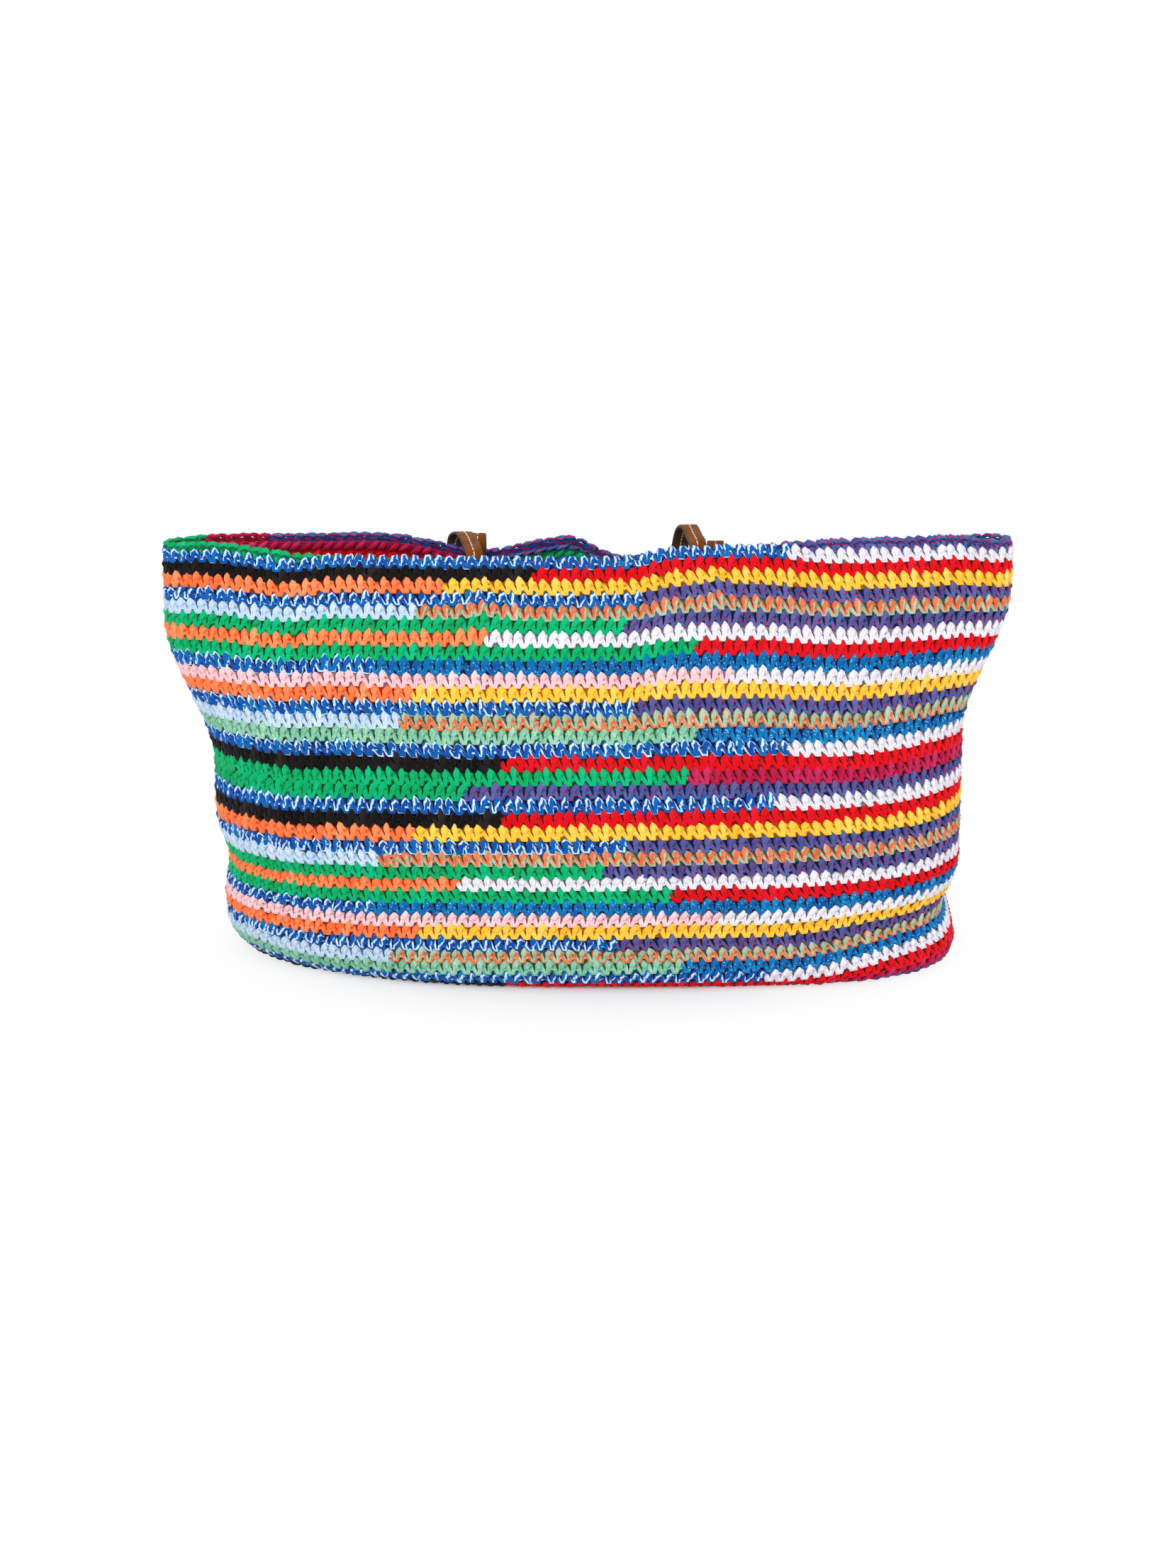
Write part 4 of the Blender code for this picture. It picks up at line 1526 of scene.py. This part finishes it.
@dataclass(frozen=True)
class Crochet:
    """The whole crochet: its wall, rim, base and inside."""

    skin: Skin
    inside_rows: int = 9
    inside_depth: float = 3.9
    rim_row_shows: float = 0.8
    next_row_shows: float = 0.2

    def build(self) -> None:
        """Makes all pieces of the crochet."""
        dyes = {yarn: yarn.value.material() for yarn in Yarn}
        rounds = Rounds(self.skin)
        rows = self.skin.form.rows
        wall = Course(rounds, WALL_STITCH, 1, rows)
        for index, yarn in enumerate(Yarn):
            chosen = np.flatnonzero(wall.yarns == index)
            wall.build(f"{yarn.value.name}_stitches", chosen, dyes, yarn.value.fullness)
        rim = Course(rounds, RIM_STITCH, 0, 0)
        rim.build("rim_stitches", np.arange(len(rim.rows)), dyes)
        base = Course(rounds, BASE_STITCH, rows + 1, self.skin.last_row)
        base.build("base_stitches", np.arange(len(base.rows)), dyes)
        last = self.inside_rows
        inside = Course(rounds, WRONG_SIDE_STITCH, 0, last, Face.WRONG_SIDE, self.inside_depth)
        shown = (inside.rows == 1) & inside.standing(self.next_row_shows)
        shown = shown | (inside.rows > 1) | inside.standing(self.rim_row_shows)
        inside.build("inside_stitches", np.flatnonzero(shown), dyes)
        Backing(rounds).build(dyes)


@dataclass(frozen=True)
class LeatherFinish:
    """Smooth tan leather: a waxed face, a darker underside and burnished edges."""

    face: Colour = (0.50, 0.27, 0.03)
    cloud: Colour = (0.45, 0.22, 0.02)
    underside: Colour = (0.44, 0.31, 0.24)
    edge: Colour = (0.33, 0.26, 0.21)
    pore: Colour = (0.20, 0.12, 0.07)

    CLOUD_SCALE = 90.0
    CLOUD_RANGE = (0.3, 0.7)
    PORE_SCALE = 1500.0
    PORE_WIDTH = 0.22
    PORE_SHARE = 0.25
    GLOSS_RANGE = (0.25, 0.75)
    ROUGHNESS = (0.42, 0.58)
    FINE_SCALE = 2600.0
    FINE_SHARE = 0.5
    RELIEF = 0.12 * MM
    RELIEF_STRENGTH = 0.6

    def material(self) -> bpy.types.Material:
        """Makes the leather's material.

        Returns:
            The material.
        """
        shader = Shader("strap_leather")
        place = shader.add("ShaderNodeTexCoord").outputs["Object"]
        cloud = shader.noise(place, self.CLOUD_SCALE, detail=3.0)
        grain = shader.cells(place, self.PORE_SCALE, "DISTANCE_TO_EDGE").outputs["Distance"]
        pores = shader.spread(grain, 0.0, self.PORE_WIDTH)
        face = shader.mix(shader.spread(cloud, *self.CLOUD_RANGE), linear(self.face), linear(self.cloud))
        colour = shader.mix(shader.attribute("underside"), face, linear(self.underside))
        colour = shader.mix(shader.attribute("edge"), colour, linear(self.edge))
        colour = shader.mix(shader.spread(pores, 0.0, 1.0, self.PORE_SHARE, 0.0), colour, linear(self.pore))
        roughness = shader.spread(cloud, *self.GLOSS_RANGE, *self.ROUGHNESS)
        shader.settle(Base_Color=colour, Roughness=roughness, Specular_IOR_Level=0.07)
        fine = shader.noise(place, self.FINE_SCALE)
        relief = shader.math("MULTIPLY_ADD", fine, self.FINE_SHARE, pores)
        shader.bump(relief, self.RELIEF, self.RELIEF_STRENGTH)
        return shader.material


@dataclass(frozen=True)
class ThreadFinish:
    """Waxed cream sewing thread."""

    colour: Colour = (0.90, 0.84, 0.70)
    # Painted shade: the colour of the shaded grooves between the thread's plies.
    painted_groove_shade: Colour = (0.66, 0.58, 0.44)

    TWIST = 1.4
    GROOVE_WIDTH = 0.6
    RELIEF = 0.08 * MM

    def material(self) -> bpy.types.Material:
        """Makes the thread's material.

        Returns:
            The material.
        """
        shader = Shader("saddle_thread")
        along, around = shader.strand()[1:]
        twist = shader.math("MULTIPLY_ADD", along, self.TWIST, around)
        ply = shader.math("ABSOLUTE", shader.math("SINE", shader.math("MULTIPLY", twist, 2.0 * math.pi)))
        # Painted shade: the grooves between the plies take the darker groove colour.
        light = shader.spread(ply, 0.0, self.GROOVE_WIDTH)
        colour = shader.mix(light, linear(self.painted_groove_shade), linear(self.colour))
        shader.settle(Base_Color=colour, Roughness=0.7, Sheen_Weight=0.1)
        shader.bump(ply, self.RELIEF)
        return shader.material


@dataclass(frozen=True)
class StrapSizes:
    """Sizes of both straps and the way they lie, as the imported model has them."""

    width: float = 0.0107
    thickness: float = 0.0020
    sewn_length: float = 0.034
    seat_gap: float = 0.0005
    front_x: Pair = (-0.063, 0.073)
    back_x: Pair = (-0.070, 0.081)
    front_leans: Pair = (0.021, 0.015)
    lean_below_rim: float = 0.35
    sewn_points: tuple[float, ...] = (0.0, 0.35, 0.7, 1.0)
    front_arches: Pair = (0.0052, 0.0034)
    back_arch: float = 0.0095
    front_arch_points: tuple[Triple, ...] = ((0.20, 0.78, -0.55), (0.48, 1.0, 0.0), (0.78, 0.62, 0.45))
    back_arch_points: tuple[Triple, ...] = ((-0.10, 0.60, -0.9), (0.34, 1.0, 0.0), (0.84, 0.62, 1.0))
    edge_rise: float = 0.0012
    edge_tilt: float = 0.78
    front_drop: float = 0.125
    back_drop: float = 0.192
    loop_squareness: float = 2.7
    loop_drift: float = 0.012
    loop_points: int = 22
    loop_start: float = 0.10
    spare_ramp: float = 0.5
    front_twist_start: float = 0.25
    back_twist_start: float = 0.66
    step: float = 0.0025


Station = tuple[Vector, Vector, float]


@dataclass(frozen=True)
class StrapRoute:
    """Works out where a strap lies, from one sewn end over the rear rim to the other."""

    skin: Skin
    sizes: StrapSizes

    def seat(self, x: float, height: float, side: Side, inside: bool) -> tuple[Vector, Vector]:
        """Finds where a strap lies flat on the wall.

        Args:
            x: Place from left to right.
            height: Height above the floor.
            side: The wall it lies on.
            inside: Whether it lies inside the bag.

        Returns:
            The middle of the strap and the direction out of the wall.
        """
        form = self.skin.form
        face = form.wall_face(x, height)
        face.y *= side.value
        reach = self.sizes.thickness / 2 + self.sizes.seat_gap
        proud = -form.wall if inside else form.ridge
        point = Vector((x, side.value * form.wall_depth(x, height, proud), height))
        return point + face * (-reach if inside else reach), face

    def sewn_leg(self, x: float, side: Side, lean: float) -> list[Station]:
        """Lists the points up the inside of the wall from a sewn end to the rim.

        Args:
            x: Place of the sewn end.
            side: The wall it is sewn to.
            lean: How far the strap leans sideways by the rear rim.

        Returns:
            Points, faces and twists.
        """
        top = self.skin.rim_height(x, side)
        found = []
        for share in self.sizes.sewn_points:
            place = x - lean * self.sizes.lean_below_rim * share
            height = top - self.sizes.sewn_length * (1.0 - share)
            point, face = self.seat(place, height, side, inside=True)
            found.append((point, face if side is Side.FRONT else -face, 0.0))
        return found

    @staticmethod
    def tilted(tilt: float) -> Vector:
        """Gives the upward direction leaned towards the back by an angle."""
        return Vector((0.0, math.sin(tilt), math.cos(tilt)))

    def front_arch(self, x: float, crossing: float, arch: float) -> list[Station]:
        """Lists the points over the mouth, from the front rim to the rear rim.

        Args:
            x: Place of the sewn end.
            crossing: Where the strap crosses the rear rim.
            arch: How far it rises above the higher of its ends.

        Returns:
            Points, faces and twists.
        """
        sizes = self.sizes
        start = self.sewn_leg(x, Side.FRONT, x - crossing)[-1][0]
        rear = self.skin.rim_height(crossing, Side.BACK)
        depth = self.skin.form.wall_depth(crossing, rear, 0.0)
        edge = Vector((crossing, depth, rear + sizes.thickness / 2 + sizes.seat_gap))
        high = max(start.z, rear) + arch
        span = edge - start
        found = []
        for share, rise, tilt in sizes.front_arch_points:
            level = start.z + (edge.z - start.z) * share
            height = level + (high - level) * rise
            point = Vector((start.x + span.x * share, start.y + span.y * share, height))
            found.append((point, self.tilted(tilt), 0.0))
        last = edge + Vector((0.0, self.skin.form.wall / 3, sizes.edge_rise))
        found.append((last, self.tilted(sizes.edge_tilt), 0.0))
        return found

    def back_arch(self, x: float) -> list[Station]:
        """Lists the points of the tight fold over the rear rim.

        Args:
            x: Place of the sewn end.

        Returns:
            Points, faces and twists.
        """
        sizes = self.sizes
        start = self.sewn_leg(x, Side.BACK, 0.0)[-1][0]
        rim = self.skin.rim_height(x, Side.BACK)
        outer = self.seat(x, rim - sizes.back_arch, Side.BACK, inside=False)[0]
        across = outer.y - start.y
        return [
            (Vector((x, start.y + across * share, rim + sizes.back_arch * rise)), self.tilted(tilt), 0.0)
            for share, rise, tilt in sizes.back_arch_points
        ]

    def hanging_loop(
        self, ends: Pair, drop: float, drift: float, spare: float, twist_start: float
    ) -> list[Station]:
        """Lists the points where the strap hangs behind the bag.

        Args:
            ends: Where it crosses the rear rim, left and right.
            drop: How far its lowest point lies below the rim.
            drift: How far its lowest point is pulled to the left.
            spare: How far it stands off the wall for the other strap.
            twist_start: Share of the drop where it starts to stand on edge.

        Returns:
            Points, faces and twists.
        """
        sizes, form = self.sizes, self.skin.form
        middle, reach = (ends[0] + ends[1]) / 2, (ends[1] - ends[0]) / 2
        left_top = self.skin.rim_height(ends[0], Side.BACK)
        right_top = self.skin.rim_height(ends[1], Side.BACK)
        lowest = (left_top + right_top) / 2 - drop
        found = []
        for number in range(1, sizes.loop_points):
            angle = math.pi * number / sizes.loop_points
            across = -math.copysign(abs(math.cos(angle)) ** (2 / sizes.loop_squareness), math.cos(angle))
            down = math.sin(angle) ** (2 / sizes.loop_squareness)
            start = left_top + (right_top - left_top) * (1.0 + across) / 2
            height = start + (lowest - start) * down
            x = middle + reach * across - drift * down
            twist = math.pi / 2 * float(smooth_step((down - twist_start) / (1.0 - twist_start)))
            face = form.wall_face(x, height)
            half = sizes.width / 2 * math.sin(twist) + sizes.thickness / 2 * math.cos(twist)
            away = half + sizes.seat_gap + spare * float(smooth_step(down / sizes.spare_ramp))
            point = Vector((x, form.wall_depth(x, height, form.ridge), height)) + face * away
            if down > sizes.loop_start:
                found.append((point, face, twist))
        return found

    def front(self) -> list[Station]:
        """Lists the points of the front strap."""
        sizes = self.sizes
        crossings = tuple(x - lean for x, lean in zip(sizes.front_x, sizes.front_leans))
        left, right = (
            self.sewn_leg(x, Side.FRONT, x - crossing) + self.front_arch(x, crossing, arch)
            for x, crossing, arch in zip(sizes.front_x, crossings, sizes.front_arches)
        )
        spare, twist_start = sizes.thickness + sizes.seat_gap, sizes.front_twist_start
        loop = self.hanging_loop(crossings, sizes.front_drop, sizes.loop_drift, spare, twist_start)
        return left + loop + right[::-1]

    def back(self) -> list[Station]:
        """Lists the points of the back strap."""
        sizes = self.sizes
        left, right = (self.sewn_leg(x, Side.BACK, 0.0) + self.back_arch(x) for x in sizes.back_x)
        loop = self.hanging_loop(sizes.back_x, sizes.back_drop, 0.0, 0.0, sizes.back_twist_start)
        return left + loop + right[::-1]


@dataclass
class Strap:
    """One flat leather strap with its saddle stitching. The stitches and threads are in millimetres."""

    name: str
    node: str
    route: list[Station]
    sizes: StrapSizes
    stitch_pitch: float = 4.3
    stitch_length: float = 3.3
    thread_radius: float = 0.42
    thread_rise: float = 0.14
    thread_dip: float = 0.55
    thread_tip: float = 0.30
    thread_shoulder: Pair = (0.80, 0.92)
    thread_seat: float = 0.92
    end_margin: float = 0.003
    end_width: Pair = (0.72, 0.28)
    edge_ramp: Pair = (0.86, 0.12)
    curve_samples: int = 1200

    FACE_CORNERS = ((0.94, 0.80), (0.78, 0.97), (0.45, 1.0), (0.10, 0.93))
    EDGE_CORNER = 0.30

    def __post_init__(self) -> None:
        """Turns the route into a smooth curve with a frame at even steps."""
        values = np.array([(*point, *face, twist) for point, face, twist in self.route])
        gaps = np.linalg.norm(np.diff(values[:, :3], axis=0), axis=1)
        knots = np.concatenate(([0.0], np.cumsum(np.sqrt(gaps))))
        slopes = np.gradient(values, knots, axis=0)
        fine = np.linspace(0.0, knots[-1], self.curve_samples)
        index = np.clip(np.searchsorted(knots, fine, side="right") - 1, 0, len(knots) - 2)
        width = (knots[index + 1] - knots[index])[:, None]
        share = (fine[:, None] - knots[index][:, None]) / width
        curve = (
            (2 * share**3 - 3 * share**2 + 1) * values[index]
            + (share**3 - 2 * share**2 + share) * width * slopes[index]
            + (3 * share**2 - 2 * share**3) * values[index + 1]
            + (share**3 - share**2) * width * slopes[index + 1]
        )
        way = lengths_along(curve[:, :3])
        self.length = float(way[-1])
        count = round(self.length / self.sizes.step) + 1
        self.stations = np.linspace(0.0, self.length, count)
        read = np.column_stack([np.interp(self.stations, way, column) for column in curve.T])
        self.points = read[:, :3]
        tangents = np.gradient(self.points, axis=0)
        self.tangents = tangents / np.linalg.norm(tangents, axis=1, keepdims=True)
        faces = read[:, 3:6]
        faces = faces - self.tangents * dots(faces, self.tangents)[:, None]
        faces /= np.linalg.norm(faces, axis=1, keepdims=True)
        across = np.cross(self.tangents, faces)
        twist = read[:, 6:7]
        self.wide = across * np.cos(twist) + faces * np.sin(twist)
        self.thick = faces * np.cos(twist) - across * np.sin(twist)

    def lay(self, along: np.ndarray, across: np.ndarray, out: np.ndarray) -> np.ndarray:
        """Lays points on the strap.

        Args:
            along: Way along the strap.
            across: Way from its centre line.
            out: Way from its middle plane.

        Returns:
            The points in space, with one more axis for X, Y and Z.
        """
        def read(table: np.ndarray) -> np.ndarray:
            """Reads a table between the stations."""
            return np.stack([np.interp(along, self.stations, column) for column in table.T], axis=-1)

        return read(self.points) + read(self.wide) * across[..., None] + read(self.thick) * out[..., None]

    def section(self) -> np.ndarray:
        """Lists the corners of the strap's section, from the right edge over the face.

        Returns:
            Way across and way out, one corner a row.
        """
        right = ((1.0, self.EDGE_CORNER), *self.FACE_CORNERS)
        upper = [*right, *((-across, out) for across, out in right[::-1])]
        lower = [(across, -out) for across, out in upper[::-1]]
        return np.array(upper + lower) * (self.sizes.width / 2, self.sizes.thickness / 2)

    def build_leather(self, leather: bpy.types.Material) -> bpy.types.Object:
        """Makes the strap itself.

        Args:
            leather: The finish.

        Returns:
            The piece.
        """
        section = self.section()
        shape = (len(self.stations), len(section))
        along = np.broadcast_to(self.stations[:, None], shape)
        across = np.broadcast_to(section[None, :, 0], shape).copy()
        out = np.broadcast_to(section[None, :, 1], shape)
        taper = np.clip(np.minimum(self.stations, self.length - self.stations) / self.end_margin, 0.0, 1.0)
        narrow, more = self.end_width
        across *= (narrow + more * np.sqrt(1.0 - (1.0 - taper) ** 2))[:, None]
        work = bmesh.new()
        roll_up(work, self.lay(along, across, out))
        bmesh.ops.recalc_face_normals(work, faces=work.faces)
        for face in work.faces:
            face.smooth = True
        mesh = mesh_of(work, self.name)
        self.mark_edges(mesh)
        piece = finished(self.name, mesh, [leather])
        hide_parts(self.node)
        LOG.info("%s: %.0f mm long, %d faces", piece.name, self.length / MM, len(mesh.polygons))
        return piece

    def mark_edges(self, mesh: bpy.types.Mesh) -> None:
        """Marks the edges and the underside of the strap for its finish.

        Args:
            mesh: The strap's mesh.
        """
        points = points_of(mesh)
        ways = (self.points - point for point in points)
        nearest = np.array([int(np.argmin(dots(way, way))) for way in ways])
        away = points - self.points[nearest]
        across = np.abs(dots(away, self.wide[nearest])) / (self.sizes.width / 2)
        out = dots(away, self.thick[nearest])
        mark(mesh, "edge", ramp(across, self.edge_ramp))
        mark(mesh, "underside", (out < 0.0).astype(float))

    def saddle_stitch(self) -> bpy.types.Mesh:
        """Makes one stitch of thread, flat, with its ends in the leather.

        Returns:
            The mesh.
        """
        half, reach = self.stitch_length / 2, self.thread_radius
        place, thick = self.thread_shoulder
        tip = (0.0, -self.thread_dip * reach, self.thread_tip * reach)
        shoulder = (0.0, 0.0, thick * reach)
        points = (
            (-half, *tip),
            (-place * half, *shoulder),
            (0.0, 0.0, self.thread_rise, reach),
            (place * half, *shoulder),
            (half, *tip),
        )
        return StitchShape((Rope(points, ROUND),), width=1.0, pitch=1.0).mesh("saddle_stitch")

    def build_thread(self, thread: bpy.types.Material) -> bpy.types.Object:
        """Makes the saddle stitching on both faces.

        Args:
            thread: The finish.

        Returns:
            The piece.
        """
        flat = self.saddle_stitch()
        local = points_of(flat)
        margin = 2 * self.end_margin
        count = int((self.length - 2 * margin) / (self.stitch_pitch * MM))
        starts = margin + (np.arange(count) + 0.5) * (self.length - 2 * margin) / count
        centres = np.concatenate((starts, starts))[:, None]
        sides = np.repeat((1.0, -1.0), count)[:, None]
        mesh = copies_of(flat, 2 * count)
        along = centres + local[None, :, 0] * MM
        across = -local[None, :, 1] * MM * sides
        out = (local[None, :, 2] * MM + self.thread_seat * self.sizes.thickness / 2) * sides
        mesh.vertices.foreach_set("co", self.lay(along, across, out).reshape(-1))
        mesh.update()
        piece = finished(f"{self.name}_thread", mesh, [thread])
        LOG.info("%s: %d stitches", piece.name, 2 * count)
        return piece


@dataclass(frozen=True)
class Softbox:
    """A square lamp: where it stands, the length of its sides, its watts, and the point that it faces."""

    name: str
    place: Triple
    size: float
    power: float
    aim: Triple

    def build(self) -> None:
        """Puts the lamp into the scene."""
        data = bpy.data.lights.new(self.name, "AREA")
        data.size = self.size
        data.energy = self.power
        light = placed(self.name, data)
        light.location = self.place
        way = Vector(self.aim) - Vector(self.place)
        light.rotation_euler = way.to_track_quat("-Z", "Y").to_euler()


@dataclass(frozen=True)
class Studio:
    """A pale floor, soft light from above and the camera."""

    floor_size: float = 60.0
    floor_colour: Colour = (0.93, 0.93, 0.93)
    world_strength: float = 0.80
    camera_elevation: float = 17.0
    camera_distance: float = 2.55
    target_height: float = 0.103
    focal_length: float = 92.0
    sensor: float = 36.0
    shadow_oval: Pair = (0.265, 0.19)
    shadow_fade: float = 0.36
    lamps: tuple[Softbox, ...] = (
        Softbox("key_light", (-0.9, -2.2, 1.8), 1.5, 36.0, (0.0, 0.0, 0.1)),
        Softbox("fill_light", (1.7, -1.6, 1.1), 1.4, 14.0, (0.0, 0.0, 0.1)),
        Softbox("back_light", (0.3, 1.8, 1.9), 1.4, 14.0, (0.0, 0.0, 0.15)),
    )

    def build_floor(self) -> bpy.types.Object:
        """Makes the floor, which fades into the white background away from the bag.

        Returns:
            The floor.
        """
        work = bmesh.new()
        bmesh.ops.create_grid(work, x_segments=2, y_segments=2, size=self.floor_size / 2)
        floor = placed("studio_floor", mesh_of(work, "studio_floor"))
        shader = Shader("studio_paper")
        shader.settle(Base_Color=linear(self.floor_colour), Roughness=0.9, Specular_IOR_Level=0.1)
        place = shader.add("ShaderNodeTexCoord").outputs["Object"]
        away = shader.add("ShaderNodeVectorMath", operation="LENGTH")
        length, depth = self.shadow_oval
        shader.feed(away.inputs[0], shader.scaled(place, (1.0 / length, 1.0 / depth, 1.0)))
        far = shader.spread(away.outputs["Value"], self.shadow_fade, 1.0)
        rays = shader.add("ShaderNodeLightPath")
        seen = shader.math("MAXIMUM", rays.outputs["Is Camera Ray"], rays.outputs["Is Glossy Ray"])
        seen = shader.math("MAXIMUM", seen, rays.outputs["Is Transmission Ray"])
        white = shader.add("ShaderNodeEmission")
        blend = shader.add("ShaderNodeMixShader")
        shader.feed(blend.inputs[0], shader.math("MULTIPLY", far, seen))
        shader.feed(blend.inputs[1], shader.surface.outputs[0])
        shader.feed(blend.inputs[2], white.outputs[0])
        shader.feed(shader.tree.nodes["Material Output"].inputs["Surface"], blend.outputs[0])
        floor.data.materials.append(shader.material)
        return floor

    def build_world(self) -> None:
        """Makes the even light all round, which the camera sees as white."""
        world = bpy.data.worlds.new("studio")
        world.use_nodes = True
        bpy.context.scene.world = world
        tree = world.node_tree
        background = tree.nodes["Background"]
        rays = tree.nodes.new("ShaderNodeLightPath")
        seen = tree.nodes.new("ShaderNodeMath")
        seen.operation = "MAXIMUM"
        tree.links.new(rays.outputs["Is Camera Ray"], seen.inputs[0])
        tree.links.new(rays.outputs["Is Transmission Ray"], seen.inputs[1])
        strength = tree.nodes.new("ShaderNodeMapRange")
        tree.links.new(seen.outputs[0], strength.inputs["Value"])
        strength.inputs["To Min"].default_value = self.world_strength
        strength.inputs["To Max"].default_value = 1.0
        tree.links.new(strength.outputs[0], background.inputs["Strength"])
        background.inputs["Color"].default_value = (1.0, 1.0, 1.0, 1.0)

    def build_camera(self) -> None:
        """Puts the camera at the photograph's viewing angle."""
        data = bpy.data.cameras.new("camera")
        data.lens = self.focal_length
        data.sensor_width = self.sensor
        data.sensor_fit = "AUTO"
        camera = placed("camera", data)
        angle = math.radians(self.camera_elevation)
        back = Vector((0.0, -math.cos(angle), math.sin(angle)))
        camera.location = Vector((0.0, 0.0, self.target_height)) + back * self.camera_distance
        camera.rotation_euler = (-back).to_track_quat("-Z", "Y").to_euler()
        bpy.context.scene.camera = camera

    def build(self) -> None:
        """Makes the whole studio."""
        self.build_floor()
        self.build_world()
        for lamp in self.lamps:
            lamp.build()
        self.build_camera()
        bpy.context.scene.view_settings.view_transform = "Standard"


def main() -> None:
    """Builds the bag's visible pieces and the studio."""
    logging.basicConfig(level=logging.INFO, format="%(message)s")
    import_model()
    Studio().build()
    skin = Skin(BagForm())
    Crochet(skin).build()
    sizes = StrapSizes()
    route = StrapRoute(skin, sizes)
    leather = LeatherFinish().material()
    thread = ThreadFinish().material()
    for name, node, stations in (
        ("front_strap", "front_handle", route.front()),
        ("back_strap", "back_handle", route.back()),
    ):
        strap = Strap(name, node, stations, sizes)
        strap.build_leather(leather)
        strap.build_thread(thread)


if __name__ == "__main__":
    main()
